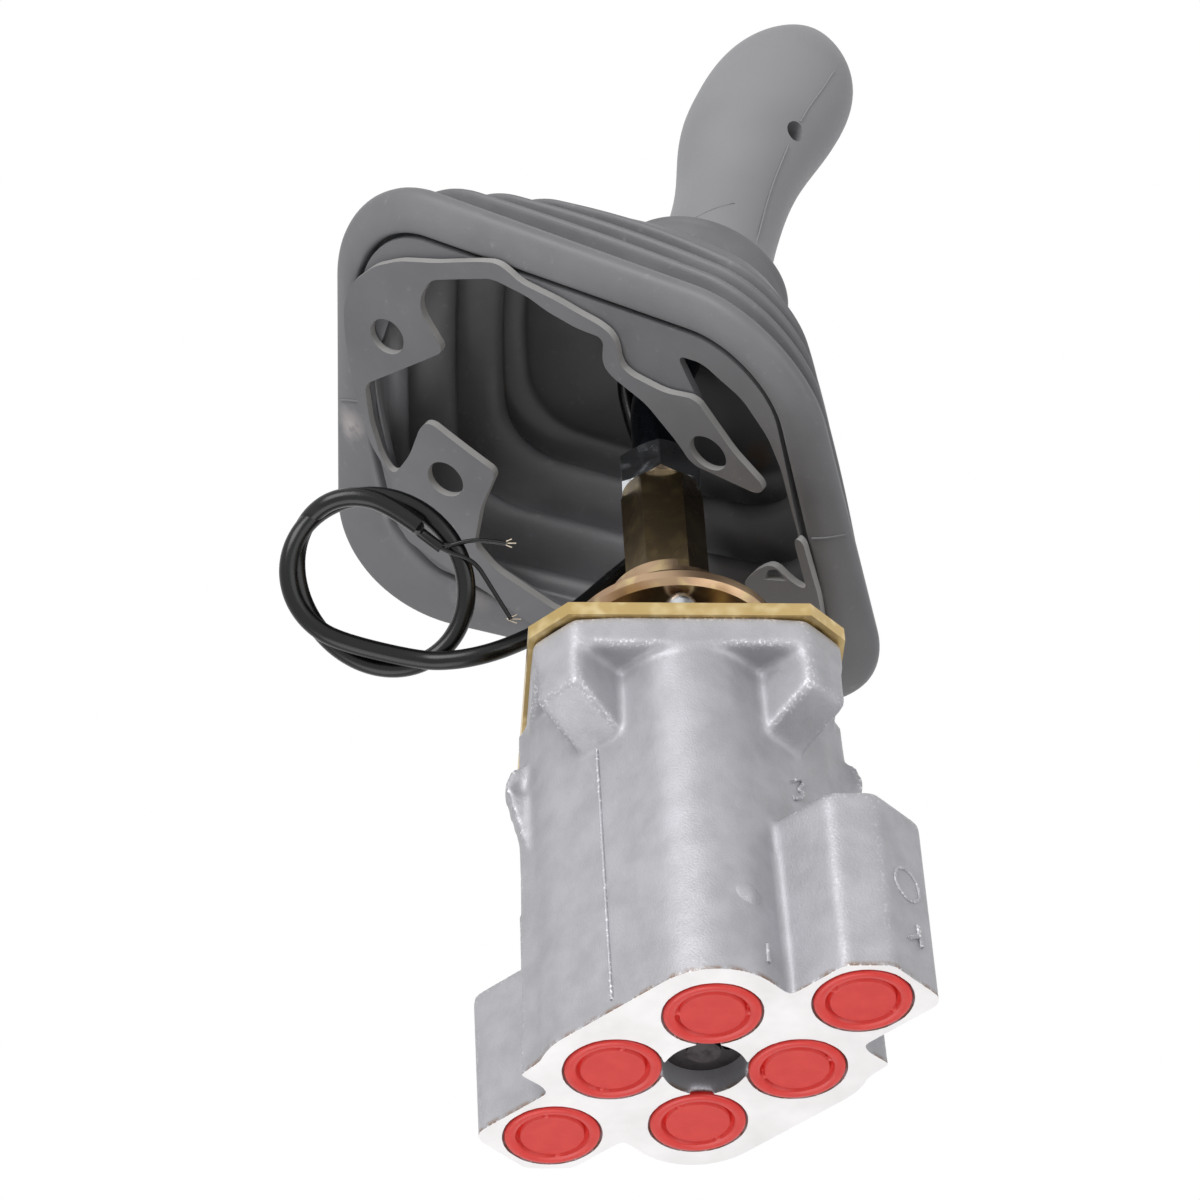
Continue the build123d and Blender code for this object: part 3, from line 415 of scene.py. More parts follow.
def mottle(tree, place, size, detail, span, to=(0.0, 1.0)):
    """Value that wanders in patches of a size in millimetres: the span of a noise, stretched to two ends."""
    value = add(tree, "TexNoise", patches(place, size, detail))
    return add(tree, "MapRange", {"Value": value, "From Min": span[0], "From Max": span[1],
                                  "To Min": to[0], "To Max": to[1]})


def grained(tree, place, size, detail, depth):
    """Normal of a skin whose grain is size millimetres across and depth millimetres deep."""
    height = add(tree, "TexNoise", patches(place, size, detail))
    return add(tree, "Bump", {"Height": height, "Distance": depth * MM, "Strength": 1.0})


def cast_aluminium():
    """Gravity-cast aluminium, shot-blasted: a fine grey grit that sparkles where edges were peened bright.

    The grit is drawn coarser than life so that it shows. A brown film of old cutting oil stays along the edge
    of the milled face."""
    material, tree, shader, place = start("cast_aluminium")
    blotch = mottle(tree, place, 9.0, 3.0, (0.35, 0.65))
    tone = add(tree, "Mix", {0: blotch, 6: linear("#a2a2a6"), 7: linear("#aeadb2")}, 2, data_type="RGBA")
    height = add(tree, "SeparateXYZ", {0: place}, "Z")
    near_face = add(tree, "MapRange", {"Value": height, "From Min": PORT_Z * MM,
                                       "From Max": (PORT_Z + OIL_REACH) * MM, "To Min": 1.0, "To Max": 0.0})
    film = mottle(tree, place, 5.0, 4.0, (0.45, 0.6))
    oil = add(tree, "Math", {0: near_face, 1: film}, operation="MULTIPLY")
    tone = add(tree, "Mix", {0: oil, 6: tone, 7: linear("#7a5a3c")}, 2, data_type="RGBA")
    point = add(tree, "NewGeometry", {}, "Pointiness")
    edge = add(tree, "MapRange", {"Value": point, "From Min": 0.505, "From Max": 0.56})
    fleck = mottle(tree, place, 0.8, 1.0, (0.55, 0.68))
    shine = add(tree, "Math", {0: edge, 1: fleck}, operation="MULTIPLY")
    tone = add(tree, "Mix", {0: shine, 6: tone, 7: linear("#f4f4f6")}, 2, data_type="RGBA")
    feed(tree, shader, {"Base Color": tone, "Metallic": 0.42,
                        "Roughness": mottle(tree, place, 0.55, 2.0, (0.3, 0.7), (0.42, 0.58)),
                        "Normal": grained(tree, place, 0.55, 2.0, 0.10)})
    return material


def milled_aluminium():
    """Face-milled aluminium: near white, with faint cutter arcs."""
    material, tree, shader, place = start("milled_aluminium")
    smear = mottle(tree, place, 14.0, 3.0, (0.3, 0.7))
    tone = add(tree, "Mix", {0: smear, 6: linear("#e6e3e3"), 7: linear("#f3f1f1")}, 2, data_type="RGBA")
    arcs = add(tree, "TexWave", {"Vector": place, "Scale": 1 / (2.2 * MM), "Distortion": 1.0, "Detail": 1.0},
               "Fac", wave_type="RINGS", rings_direction="Z")
    rough = add(tree, "MapRange", {"Value": arcs, "To Min": 0.30, "To Max": 0.38})
    feed(tree, shader, {"Base Color": tone, "Metallic": 0.75, "Roughness": rough})
    return material


def yellow_zinc(name, first, second, third, rough):
    """Zinc plate with yellow chromate: gold film whose colour drifts with its thickness."""
    material, tree, shader, place = start(name)
    drift = mottle(tree, place, 13.0, 1.0, (0.35, 0.65))
    film = add(tree, "Mix", {0: drift, 6: linear(first), 7: linear(second)}, 2, data_type="RGBA")
    bloom = mottle(tree, place, 5.0, 1.0, (0.5, 0.75))
    film = add(tree, "Mix", {0: bloom, 6: film, 7: linear(third)}, 2, data_type="RGBA")
    feed(tree, shader, {"Base Color": film, "Metallic": 1.0,
                        "Roughness": mottle(tree, place, 13.0, 1.0, (0.35, 0.65), (rough, rough + 0.05))})
    return material


def bright_metal(name, colour, rough, dirt):
    """Plain plated, drawn or blackened metal: a clear shine under a little handling grime."""
    material, tree, shader, place = start(name)
    grime = mottle(tree, place, 4.0, 5.0, (0.5, 0.75))
    tone = add(tree, "Mix", {0: grime, 6: linear(colour), 7: linear(dirt)}, 2, data_type="RGBA")
    feed(tree, shader, {"Base Color": tone, "Metallic": 1.0,
                        "Roughness": mottle(tree, place, 4.0, 5.0, (0.5, 0.75), (rough, rough + 0.2)),
                        "Normal": grained(tree, place, 1.0, 3.0, 0.005)})
    return material


def boot_rubber(name, first, second):
    """Moulded PVC-nitrile: matt grey skin, dusty scuffs and a faint moulding grain.

    The grain is drawn coarser than life so that it shows. Worn places fade out from their middles."""
    material, tree, shader, place = start(name)
    cloud = mottle(tree, place, 24.0, 3.0, (0.35, 0.7))
    tone = add(tree, "Mix", {0: cloud, 6: linear(first), 7: linear(second)}, 2, data_type="RGBA")
    dust = mottle(tree, place, 3.0, 6.0, (0.62, 0.8), (0.0, 0.5))
    tone = add(tree, "Mix", {0: dust, 6: tone, 7: linear("#8f8d8c")}, 2, data_type="RGBA")
    blotch = mottle(tree, place, 8.0, 4.0, (0.4, 0.55))
    for at, reach, share, colour in BOOT_WEAR:
        middle = tuple(c * MM for c in at)
        away = add(tree, "VectorMath", {0: place, 1: middle}, "Value", operation="DISTANCE")
        near = add(tree, "MapRange", {"Value": away, "From Max": reach * MM, "To Min": share, "To Max": 0.0})
        worn = add(tree, "Math", {0: near, 1: blotch}, operation="MULTIPLY")
        tone = add(tree, "Mix", {0: worn, 6: tone, 7: linear(colour)}, 2, data_type="RGBA")
    feed(tree, shader, {"Base Color": tone, "IOR": 1.48,
                        "Roughness": mottle(tree, place, 24.0, 3.0, (0.35, 0.7), (0.44, 0.58)),
                        "Normal": grained(tree, place, 0.9, 2.0, 0.05)})
    return material


def grip_plastic():
    """Moulded TPE over plastic: even mid grey, satin, with a spark-eroded grain drawn coarser than life."""
    material, tree, shader, place = start("grip_plastic")
    cloud = mottle(tree, place, 40.0, 2.0, (0.35, 0.65))
    tone = add(tree, "Mix", {0: cloud, 6: linear("#858588"), 7: linear("#8c8c8f")}, 2, data_type="RGBA")
    feed(tree, shader, {"Base Color": tone, "IOR": 1.5,
                        "Roughness": mottle(tree, place, 1.0, 3.0, (0.3, 0.7), (0.46, 0.56)),
                        "Normal": grained(tree, place, 0.7, 2.0, 0.03)})
    return material


def plug_polythene():
    """Red low-density polythene, moulded: waxy, a little see-through, scuffed paler in places."""
    material, tree, shader, place = start("red_polythene")
    haze = mottle(tree, place, 5.0, 4.0, (0.4, 0.7))
    tone = add(tree, "Mix", {0: haze, 6: linear("#d92a22"), 7: linear("#df3a33")}, 2, data_type="RGBA")
    feed(tree, shader, {"Base Color": tone, "IOR": 1.51,
                        "Roughness": mottle(tree, place, 5.0, 4.0, (0.4, 0.7), (0.32, 0.46)),
                        "Subsurface Weight": 0.08, "Subsurface Radius": (0.002, 0.0006, 0.0005),
                        "Normal": grained(tree, place, 1.4, 3.0, 0.03)})
    return material


def cable_jacket():
    """Extruded black PVC: smooth, with a soft shine along its length and a little dust."""
    material, tree, shader, place = start("cable_jacket")
    dust = mottle(tree, place, 6.0, 5.0, (0.55, 0.85), (0.0, 0.25))
    tone = add(tree, "Mix", {0: dust, 6: linear("#0b0c0d"), 7: linear("#303032")}, 2, data_type="RGBA")
    feed(tree, shader, {"Base Color": tone, "IOR": 1.53, "Specular IOR Level": 0.3,
                        "Roughness": mottle(tree, place, 6.0, 5.0, (0.55, 0.85), (0.26, 0.42)),
                        "Normal": grained(tree, place, 1.6, 3.0, 0.01)})
    return material


CASTING = cast_aluminium()
MILLED = milled_aluminium()
PLATE_ZINC = yellow_zinc("yellow_zinc_plate", "#c8ad78", "#b9a06a", "#d9c595", 0.30)
DISC_ZINC = yellow_zinc("yellow_zinc_disc", "#b89d80", "#a5896f", "#c4b083", 0.22)
# The hexagon has the plate's yellow zinc, drawn in darker olive-brown colours: painted shade, and a painted
# dark reflection of the boot's inside, where it sits in the boot's shadow.
HEX_ZINC_PAINTED_SHADE = yellow_zinc("hexagon_zinc_painted_shade", "#8d7a5e", "#77674f", "#9a8762", 0.24)
WHITE_ZINC = bright_metal("white_zinc_steel", "#d3d6da", 0.16, "#8d9197")
BLACK_STEEL = bright_metal("blackened_steel", "#4a525b", 0.22, "#2a2d33")
GROUND_STEEL = bright_metal("ground_steel", "#c4c6c9", 0.22, "#8b8d90")
DARK_IRON = bright_metal("phosphated_iron", "#4b4748", 0.45, "#2a2727")
BOOT_SKIN = boot_rubber("boot_rubber", "#666669", "#707073")
BOOT_CUT = boot_rubber("boot_cut_edge", "#9c9b99", "#8b8a89")
GRIP_SKIN = grip_plastic()
PLUG_RED = plug_polythene()
JACKET = cable_jacket()
RUBBER = boot_rubber("black_nitrile", "#202022", "#2a2a2c")
TINNED = bright_metal("tinned_copper", "#b5ac9c", 0.4, "#8f8472")


def finish_node(material, *names):
    """Give CAD nodes a material in all their slots."""
    for name in names:
        nodes[name].data.materials.clear()
        nodes[name].data.materials.append(material)


finish_node(PLATE_ZINC, "mounting_plate")
finish_node(DISC_ZINC, "swash_disc", "step_washer")
finish_node(HEX_ZINC_PAINTED_SHADE, "hex_coupling")
finish_node(WHITE_ZINC, "lock_nut", "plate_screws")
finish_node(BLACK_STEEL, "lever_rod", "horn_switch")
finish_node(DARK_IRON, "retainer", "joint_base", "joint_cross", "joint_fork")
finish_node(GRIP_SKIN, "grip")
finish_node(RUBBER, "o_rings", "rod_wipers", "lead_grommet", "horn_button")
for way in ("front", "rear", "left", "right"):
    finish_node(GROUND_STEEL, f"push_rod_{way}", f"spool_{way}", f"spring_seat_{way}")
    finish_node(BLACK_STEEL, f"return_spring_{way}", f"balance_spring_{way}")
    finish_node(DARK_IRON, f"bush_{way}")


# Casting
def round_corners(mesh):
    """Relax the flange's four corners only: each point moves towards the mean of its neighbours."""
    co = read_points(mesh)
    count = len(co)
    edges = np.empty(len(mesh.edges) * 2, np.int32)
    mesh.edges.foreach_get("vertices", edges)
    a, b = edges.reshape(-1, 2).T
    degree = np.bincount(edges, minlength=count)[:, None]
    x, y, depth = np.abs(co.T) / MM
    corner = np.clip((x + y - CORNER_FROM) / CORNER_FADE, 0, 1)
    weight = (corner * np.clip((CORNER_LOW - depth) / CORNER_LOW_FADE, 0, 1))[:, None]
    for _ in range(CORNER_SOFTEN):
        total = [np.bincount(a, co[b, k], count) + np.bincount(b, co[a, k], count) for k in range(3)]
        co += SOFTEN_BY * weight * (np.stack(total, -1) / degree - co)
    write_points(mesh, co)


def rough_casting():
    """CAD body with metal to mill off at its port face, then voxelled and relaxed, as it leaves a mould."""
    mesh = nodes["valve_body"].data.copy()
    bm = bmesh.new()
    bm.from_mesh(mesh)
    bmesh.ops.remove_doubles(bm, verts=bm.verts, dist=CAD_MERGE * MM)
    bm.to_mesh(mesh)
    bm.free()
    co = read_points(mesh)
    co[:, 2] -= np.where(co[:, 2] < (PORT_Z + MILL_NEAR) * MM, MILL_ALLOWANCE * MM, 0.0)
    write_points(mesh, co)
    made = placed_object("casting", mesh)
    remesh = made.modifiers.new("mould", "REMESH")
    remesh.mode = "VOXEL"
    remesh.voxel_size = CAST_VOXEL * MM
    soften = made.modifiers.new("soft_edges", "SMOOTH")
    soften.factor = SOFTEN_BY
    soften.iterations = CAST_SOFTEN
    graph = bpy.context.evaluated_depsgraph_get()
    made.data = bpy.data.meshes.new_from_object(made.evaluated_get(graph))
    made.modifiers.clear()
    made.data.materials.clear()
    made.data.materials.append(CASTING)
    made.data.materials.append(MILLED)
    made.data.shade_smooth()
    round_corners(made.data)
    return made


def casting():
    """Rough casting cut flat at the port face, with the cut filled as a milled face that has a sharp rim."""
    made = rough_casting()
    bm = bmesh.new()
    bm.from_mesh(made.data)
    cut = bmesh.ops.bisect_plane(bm, geom=bm.verts[:] + bm.edges[:] + bm.faces[:], clear_inner=True,
                                 plane_co=(0, 0, PORT_Z * MM), plane_no=(0, 0, 1))
    rim = [edge for edge in cut["geom_cut"] if isinstance(edge, bmesh.types.BMEdge)]
    milled = bmesh.ops.triangle_fill(bm, edges=rim, use_beauty=True, normal=(0, 0, -1))
    for face in milled["geom"]:
        if isinstance(face, bmesh.types.BMFace):
            face.material_index = 1
            face.smooth = False
    bmesh.ops.split_edges(bm, edges=rim)
    bm.to_mesh(made.data)
    bm.free()
    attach(made, "housing")
    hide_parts("valve_body")
    return made


# Marks that stand on a surface where the picture shows them
def seen_at(made, across, down):
    """Place and normal, in millimetres, where the ray through a point of the picture meets a mesh."""
    right, below = across / PICTURE - 0.5, down / PICTURE - 0.5
    ray = VIEW_FORWARD * LENS / SENSOR + right * VIEW_RIGHT + below * VIEW_DOWN
    _, at, normal, _ = made.ray_cast(Vector(CAMERA_AT) * MM, Vector(ray).normalized())
    return np.array(at) / MM, np.array(normal)


def raised_lines(name, made, lines, material, rides_on):
    """Round ridges half sunk in a mesh's surface, one for each line of picture points."""
    bpy.context.view_layer.update()
    for k, (width, line) in enumerate(lines):
        seen = [seen_at(made, *point) for point in line]
        points = [at + LINE_PROUD * normal for at, normal in seen]
        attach(spline_object(f"{name}_{k}", points, width, material), rides_on)


def tangents(normal):
    """Two ways along a surface: level, and up it."""
    side = np.cross(normal, (0, 0, 1))
    side /= np.linalg.norm(side)
    return side, np.cross(side, normal)


def cast_ring(carrier):
    """Circle of round wire half sunk in the lobe's side."""
    at, normal = seen_at(carrier, *RING_AT)
    side, up = tangents(normal)
    turn = np.linspace(0, 2 * np.pi, RING_POINTS)[:, None]
    points = at + RING_R * (np.cos(turn) * side + np.sin(turn) * up)
    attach(spline_object("cast_ring", points, RING_WIRE, CASTING), "housing")


def cast_boss(carrier):
    """Low round boss: a cap that falls with the square of the radius, with its foot sunk in the column."""
    at, normal = seen_at(carrier, *BOSS_AT)
    side, up = tangents(normal)
    share = np.linspace(0, 1, BOSS_ROWS)[:, None]
    turn = np.linspace(0, 2 * np.pi, BOSS_COLUMNS, endpoint=False)[None, :]
    out = np.cos(turn)[..., None] * side + np.sin(turn)[..., None] * up
    proud = BOSS_PROUD * (1 - 2 * share ** 2) + 0 * turn
    points = at + BOSS_R * share[..., None] * out + proud[..., None] * normal
    faces = grid_faces(BOSS_ROWS, BOSS_COLUMNS, False, True)
    made = mesh_object("cast_boss", points.reshape(-1, 3), faces, CASTING)
    outward(made, POINT_MERGE)
    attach(made, "housing")


def port_plugs():
    """Six plugs: a profile of radius and height turned round each port.

    The groove's rows are sunk by its depth times the square of a clipped sine, which is nought at two
    bridges, and each plug is turned further than the one before."""
    places = [(0, -PORT_CIRCLE), (0, PORT_CIRCLE), (-PORT_CIRCLE, 0), (PORT_CIRCLE, 0),
              LOBE_PORT, (-LOBE_PORT[0], -LOBE_PORT[1])]
    radius, height = np.array(PLUG_PROFILE).T[:, :, None]
    rows = len(PLUG_PROFILE)
    order = np.arange(len(places))[:, None, None]
    x, y = np.array(places).T[:, :, None, None]
    angle = np.linspace(0, 2 * np.pi, PLUG_COLUMNS, endpoint=False)
    groove = GROOVE_DEPTH * np.isin(np.arange(rows), GROOVE_ROWS)[:, None]
    bridge = np.minimum(np.abs(np.sin(angle - PLUG_TURN * order)) * GROOVE_BRIDGE, 1.0)
    z = PORT_Z - PLUG_STAND + height + groove * bridge ** 2
    points = np.stack([x + radius * np.cos(angle), y + radius * np.sin(angle), z], -1)
    faces = grid_faces(rows, PLUG_COLUMNS, False, True) + order * rows * PLUG_COLUMNS
    plugs = mesh_object("transport_plugs", points.reshape(-1, 3), faces.reshape(-1, 4), PLUG_RED)
    outward(plugs, POINT_MERGE)
    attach(plugs, "housing")
    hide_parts("port_plugs")


# Boot
def lip_surface(u, v, w):
    """Point of the lip's twisted surface, its four corners blended bilinearly, raised by w along the boot."""
    p = u[..., None] / LIP_HALF_W
    q = v[..., None] / LIP_HALF_D
    a, b, c, d = LIP_CORNERS
    flat = ((1 - p) * (1 - q) * a + (1 + p) * (1 - q) * b + (1 + p) * (1 + q) * c + (1 - p) * (1 + q) * d) / 4
    return flat + BOOT_NORMAL * w[..., None]


def fold_wave(t):
    """Growth of the outer wall at a share t of the boot's height, with a bell of a cove under the neck ring.

    Each fold is a raised cosine to a power, which makes its ridge sharper than its hollow. The folds fade out
    in a steep S-curve above the last one."""
    fade = 1 / (1 + np.exp((t - FOLD_LAST) / FOLD_FADE))
    ridge = (0.5 - 0.5 * np.cos(2 * np.pi * (t - FOLD_FIRST) / FOLD_PITCH)) ** FOLD_SHARP
    folds = (FOLD_HALF * (2 * ridge - 1) - FOLD_INSET) * fade
    return folds - NECK_COVE * np.exp(-((t - COVE_AT) / COVE_SPREAD) ** 2)


def lip_outline():
    """Even places round the lip, the way out at each, and its turn about the boot."""
    outline = rounded_outline(LIP_HALF_W, LIP_HALF_D, LIP_CORNER_R, LIP_COLUMNS)
    step = np.roll(outline, -1, 0) - np.roll(outline, 1, 0)
    out = np.stack([step[:, 1], -step[:, 0]], -1)
    out /= np.linalg.norm(out, axis=1)[:, None]
    return outline, out, np.arctan2(outline[:, 1] / LIP_HALF_D, outline[:, 0] / LIP_HALF_W)


def skirt_reach(turn):
    """How much wider the skirt is at a turn about the boot: a bell round its widest corner."""
    away = np.angle(np.exp(1j * (turn - SKIRT_WIDEST_AT)))
    return 1 + SKIRT_WIDER * np.exp(-(away / SKIRT_SPREAD) ** 2)


def boot_profile():
    """Share of height, growth outwards and lift of the closed wall, from the neck ring round to inside it.

    Outer folds run from the ring to the lip, then come the skirt's underside and the inner folds back up."""
    ring = through(NECK_RING, NECK_RING_STEPS)
    skirt = through(SKIRT, SKIRT_STEPS)
    rise = np.linspace(RISE_FROM, RISE_TO, RISE_ROWS)
    wave = fold_wave(rise)
    return np.vstack([np.stack([ring[:, 0], ring[:, 1], 0 * ring[:, 0]], -1),
                      np.stack([rise, wave, 0 * rise], -1)[::-1],
                      np.stack([0 * skirt[:, 0], skirt[:, 0], skirt[:, 1]], -1),
                      np.stack([rise, wave - BOOT_WALL, 0 * rise], -1)])


def boot_shell():
    """Closed wall ruled between the lip and the neck ring: each point lies on the line that joins the two.

    The profile gives the share along that line, and the growth of the lip and of the ring there."""
    outline, out, turn = lip_outline()
    profile = boot_profile()
    t, grow, lift = (profile[:, k, None] for k in range(3))
    reach = np.where((t == 0) & (grow < 0), skirt_reach(turn)[None, :], 1.0)
    u = outline[None, :, 0] + grow * reach * out[None, :, 0]
    v = outline[None, :, 1] + grow * reach * out[None, :, 1]
    low = lip_surface(u, v, lift + 0 * u)
    neck = np.cos(turn)[:, None] * GRIP_SIDE + np.sin(turn)[:, None] * GRIP_BACK
    high = BOOT_NECK + (NECK_RING_R + grow)[..., None] * neck[None]
    points = (1 - t[..., None]) * low + t[..., None] * high
    faces = grid_faces(len(profile), LIP_COLUMNS, True, True)
    made = mesh_object("bellows_boot", points.reshape(-1, 3), faces, BOOT_SKIN)
    outward(made)
    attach(made, "lever")
    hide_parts("boot")
    return made


def eased(points, reach):
    """Closed outline with each corner cut twice, by at most reach, so that it reads as rounded."""
    p = np.asarray(points, float)
    for cut_by in (reach, reach / EASE_AGAIN):
        step = np.roll(p, -1, 0) - p
        share = np.minimum(cut_by / np.linalg.norm(step, axis=1), EASE_SHARE)[:, None]
        p = np.stack([p + share * step, p + (1 - share) * step], 1).reshape(-1, 2)
    return p


def tab_hole(at):
    """Circle round the middle of a tab's hole."""
    angle = np.linspace(0, 2 * np.pi, TAB_HOLE_POINTS, endpoint=False)
    return np.stack([at[0] + TAB_HOLE_R * np.cos(angle), at[1] + TAB_HOLE_R * np.sin(angle)], -1)


def filled_loops(name, loops):
    """Flat mesh of the sheet's thickness that fills closed loops, a loop inside another being a hole."""
    curve = bpy.data.curves.new(name, "CURVE")
    curve.dimensions = "2D"
    curve.fill_mode = "BOTH"
    curve.extrude = SHEET_T / 2 * MM
    for loop in loops:
        line = curve.splines.new("POLY")
        line.points.add(len(loop) - 1)
        co = np.column_stack([loop * MM, np.zeros(len(loop)), np.ones(len(loop))])
        line.points.foreach_set("co", co.astype(np.float32).reshape(-1))
        line.use_cyclic_u = True
    flat = placed_object(name, curve)
    graph = bpy.context.evaluated_depsgraph_get()
    mesh = bpy.data.meshes.new_from_object(flat.evaluated_get(graph))
    bpy.data.objects.remove(flat)
    return mesh


def cut_sheet(name, loops, height, edge):
    """Sheet on the lip's form: flat loops filled, cut to small cells, waved a little and laid on the lip."""
    mesh = filled_loops(name, loops)
    mesh.materials.clear()
    mesh.materials.append(BOOT_SKIN)
    mesh.materials.append(edge)
    bm = bmesh.new()
    bm.from_mesh(mesh)
    bmesh.ops.remove_doubles(bm, verts=bm.verts, dist=SHEET_MERGE * MM)
    for normal in (Vector((1, 0, 0)), Vector((0, 1, 0))):
        for at in np.arange(-SHEET_REACH, SHEET_REACH, SHEET_CELL):
            bmesh.ops.bisect_plane(bm, geom=bm.verts[:] + bm.edges[:] + bm.faces[:], dist=POINT_MERGE * MM,
                                   plane_co=normal * float(at * MM), plane_no=normal)
    bm.to_mesh(mesh)
    bm.free()
    facing = np.empty(len(mesh.polygons) * 3, np.float32)
    mesh.polygons.foreach_get("normal", facing)
    on_side = np.abs(facing.reshape(-1, 3)[:, 2]) < SIDE_FACE
    mesh.polygons.foreach_set("material_index", on_side.astype(np.int32))
    mesh.shade_smooth()
    u, v, w = read_points(mesh).T / MM
    wave = SHEET_WAVE * np.sin(u / SHEET_WAVE_U) * np.cos(v / SHEET_WAVE_V)
    write_points(mesh, lip_surface(u, v, height + wave + w) * MM)
    made = placed_object(name, mesh)
    outward(made)
    mesh.set_sharp_from_angle(angle=SHEET_SHARP)
    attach(made, "lever")


def flange():
    """Web that follows the skirt's underside at a set way in, and the cut sheet with its tabs and holes."""
    outline, out, turn = lip_outline()
    web = outline + WEB_EDGE * skirt_reach(turn)[:, None] * out
    cut_sheet("boot_flange_web", [web, eased(WEB_INSIDE, SHEET_CORNER)], WEB_HEIGHT, BOOT_SKIN)
    tabs = eased(SHEET_RIM + SHEET_EDGE[::-1], SHEET_CORNER)
    holes = [tab_hole(at) for at in TAB_HOLES] + [eased(TAB_SLOT, TAB_SLOT_CORNER)]
    cut_sheet("boot_flange_tabs", [tabs] + holes, SHEET_HEIGHT, BOOT_CUT)


# Lead
def loop_points():
    """Loose loop: clockwise turns seen from the front, the second one narrower, taller and swung up.

    It is an ellipse with a slant, whose sizes change evenly with the turn. Near and far stretches alternate,
    with a steep S-curve at each crossing, so that the cord passes over and under itself."""
    turn = np.linspace(LOOP_FROM, LOOP_TURNS, LOOP_POINTS)
    cos, sin = np.cos(2 * np.pi * turn), np.sin(2 * np.pi * turn)
    right = LOOP_MIDDLE[0] + LOOP_SKEW * cos - (LOOP_HALF_W - LOOP_NARROWS * turn) * sin
    up = (LOOP_MIDDLE[1] - LOOP_DROP * turn - (LOOP_HALF_H + LOOP_GROWS * turn) * cos
          + (LOOP_SLANT + LOOP_SWINGS * turn) * sin)
    first, second = (np.tanh((turn - at) / LOOP_CROSS_SPAN) for at in LOOP_CROSSINGS)
    depth = LOOP_DEPTH * (first - second - 1)
    return LOOP_CENTRE + right[:, None] * VIEW_RIGHT - up[:, None] * VIEW_DOWN + depth[:, None] * VIEW_FORWARD


def core_strands(k, end):
    """Short bare wires that fan out evenly from the end of a core."""
    for turn in np.arange(STRANDS) * 2 * np.pi / STRANDS:
        splay = STRAND_SPLAY * (np.cos(turn) * VIEW_RIGHT + np.sin(turn) * VIEW_DOWN)
        tip = end + STRAND_REACH * VIEW_RIGHT + splay
        points = [end - STRAND_SUNK * VIEW_RIGHT, end + STRAND_BEND * splay, tip]
        yield spline_object(f"core_strand_{k}_{round(np.degrees(turn))}", points, STRAND_D, TINNED)


def lead():
    """Lead from the grip down its route and round its loop, to its sheath, two cores and their strands."""
    route = np.vstack([LEAD_START, LEAD_START - GRIP_DIR * LEAD_STRAIGHT, LEAD_POINTS, loop_points()])
    jacket = spline_object("horn_lead", route, LEAD_D, JACKET)
    cores = [spline_object(f"lead_core_{k}", points, CORE_D, JACKET) for k, points in enumerate(CORE_POINTS)]
    first_core = np.array(CORE_POINTS[0], float)
    sheath = np.vstack([route[-1], (route[-1] + first_core[0]) / 2, first_core[:2]])
    cores.append(spline_object("lead_sheath", sheath, SHEATH_D, JACKET))
    for k, points in enumerate(CORE_POINTS):
        cores.extend(core_strands(k, np.array(points[-1], float)))
    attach(jacket, "lever")
    for core in cores:
        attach(core, "lever")
    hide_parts("lead_run", "lead_coil")
    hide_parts("lead_cores")


# Stage: floor seen only from above, soft lights round the camera, white surroundings
def floor():
    """Pale square under the ports, lifted towards white for the camera alone, and clear from below."""
    material, tree, shader = blank("pale_floor")
    looked_at = add(tree, "LightPath", {}, "Is Camera Ray")
    glow = add(tree, "MapRange", {"Value": looked_at, "To Max": FLOOR_GLOW})
    feed(tree, shader, {"Base Color": linear("#f2f2f2"), "Roughness": 0.7,
                        "Emission Color": linear("#ffffff"), "Emission Strength": glow})
    clear = add(tree, "BsdfTransparent", {})
    below = add(tree, "NewGeometry", {}, "Backfacing")
    both = add(tree, "MixShader", {0: below, 1: shader.outputs[0], 2: clear})
    feed(tree, tree.nodes["Material Output"], {"Surface": both})
    corners = [(x * FLOOR_HALF, y * FLOOR_HALF, FLOOR_Z) for x, y in ((-1, -1), (1, -1), (1, 1), (-1, 1))]
    made = mesh_object("floor", corners, [(0, 1, 2, 3)], material)
    made.visible_diffuse = False
    made.visible_glossy = False
    made.visible_shadow = False


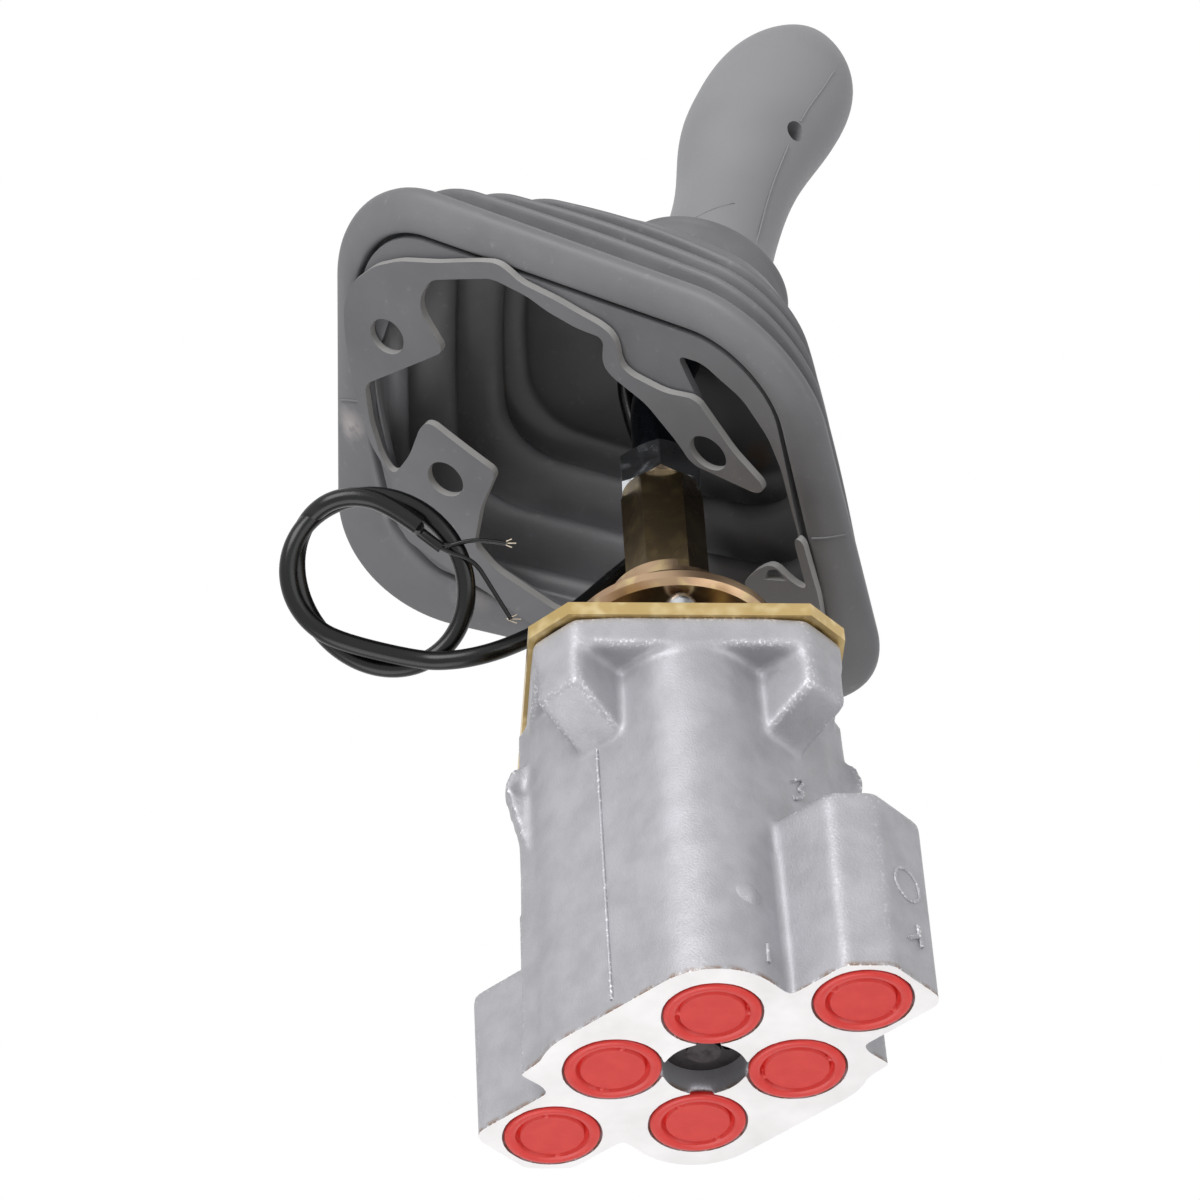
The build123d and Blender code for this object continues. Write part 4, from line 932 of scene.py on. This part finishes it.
def area_light(name, right, up, near, size, power):
    """Square soft light aimed at the part, placed by the picture's right and up and towards the camera."""
    target = BODY_MIDDLE * MM
    at = target + (right * VIEW_RIGHT - up * VIEW_DOWN - near * VIEW_FORWARD) * MM
    lamp = bpy.data.lights.new(name, "AREA")
    lamp.size = size * MM
    lamp.energy = power
    made = placed_object(name, lamp)
    made.location = at
    made.rotation_euler = Vector(target - at).to_track_quat("-Z", "Y").to_euler()
    made.visible_camera = False


def world():
    """Surroundings that are white to look at, in reflections and through clear pieces, and a weaker light."""
    surround = bpy.data.worlds.new("studio")
    bpy.context.scene.world = surround
    surround.use_nodes = True
    tree = surround.node_tree
    path = add(tree, "LightPath", {}).node
    seen = path.outputs["Is Camera Ray"]
    for ray in ("Is Glossy Ray", "Is Transmission Ray"):
        seen = add(tree, "Math", {0: seen, 1: path.outputs[ray]}, operation="MAXIMUM")
    strength = add(tree, "MapRange", {"Value": seen, "To Min": WORLD_LIGHT, "To Max": 1.0})
    feed(tree, tree.nodes["Background"], {"Color": linear("#ffffff"), "Strength": strength})


def camera():
    """Camera turned so that its own axes are the picture's right, up and towards the eye."""
    data = bpy.data.cameras.new("camera")
    data.sensor_width = SENSOR
    data.lens = LENS
    data.clip_end = CLIP_END
    made = placed_object("camera", data)
    turn = Matrix(np.column_stack([VIEW_RIGHT, -VIEW_DOWN, -VIEW_FORWARD]).tolist()).to_4x4()
    made.matrix_world = Matrix.Translation(Vector(CAMERA_AT) * MM) @ turn
    bpy.context.scene.camera = made


body = casting()
raised_lines("cast_mark", body, CAST_LINES, CASTING, "housing")
cast_ring(body)
cast_boss(body)
raised_lines("grip_seam", nodes["grip"], GRIP_LINES, GRIP_SKIN, "lever")
port_plugs()
boot = boot_shell()
raised_lines("boot_seam", boot, BOOT_LINES, BOOT_SKIN, "lever")
flange()
lead()
floor()
for lamp_name, lamp_place in LAMPS.items():
    area_light(lamp_name, *lamp_place)
world()
camera()
bpy.context.scene.view_settings.view_transform = "Standard"
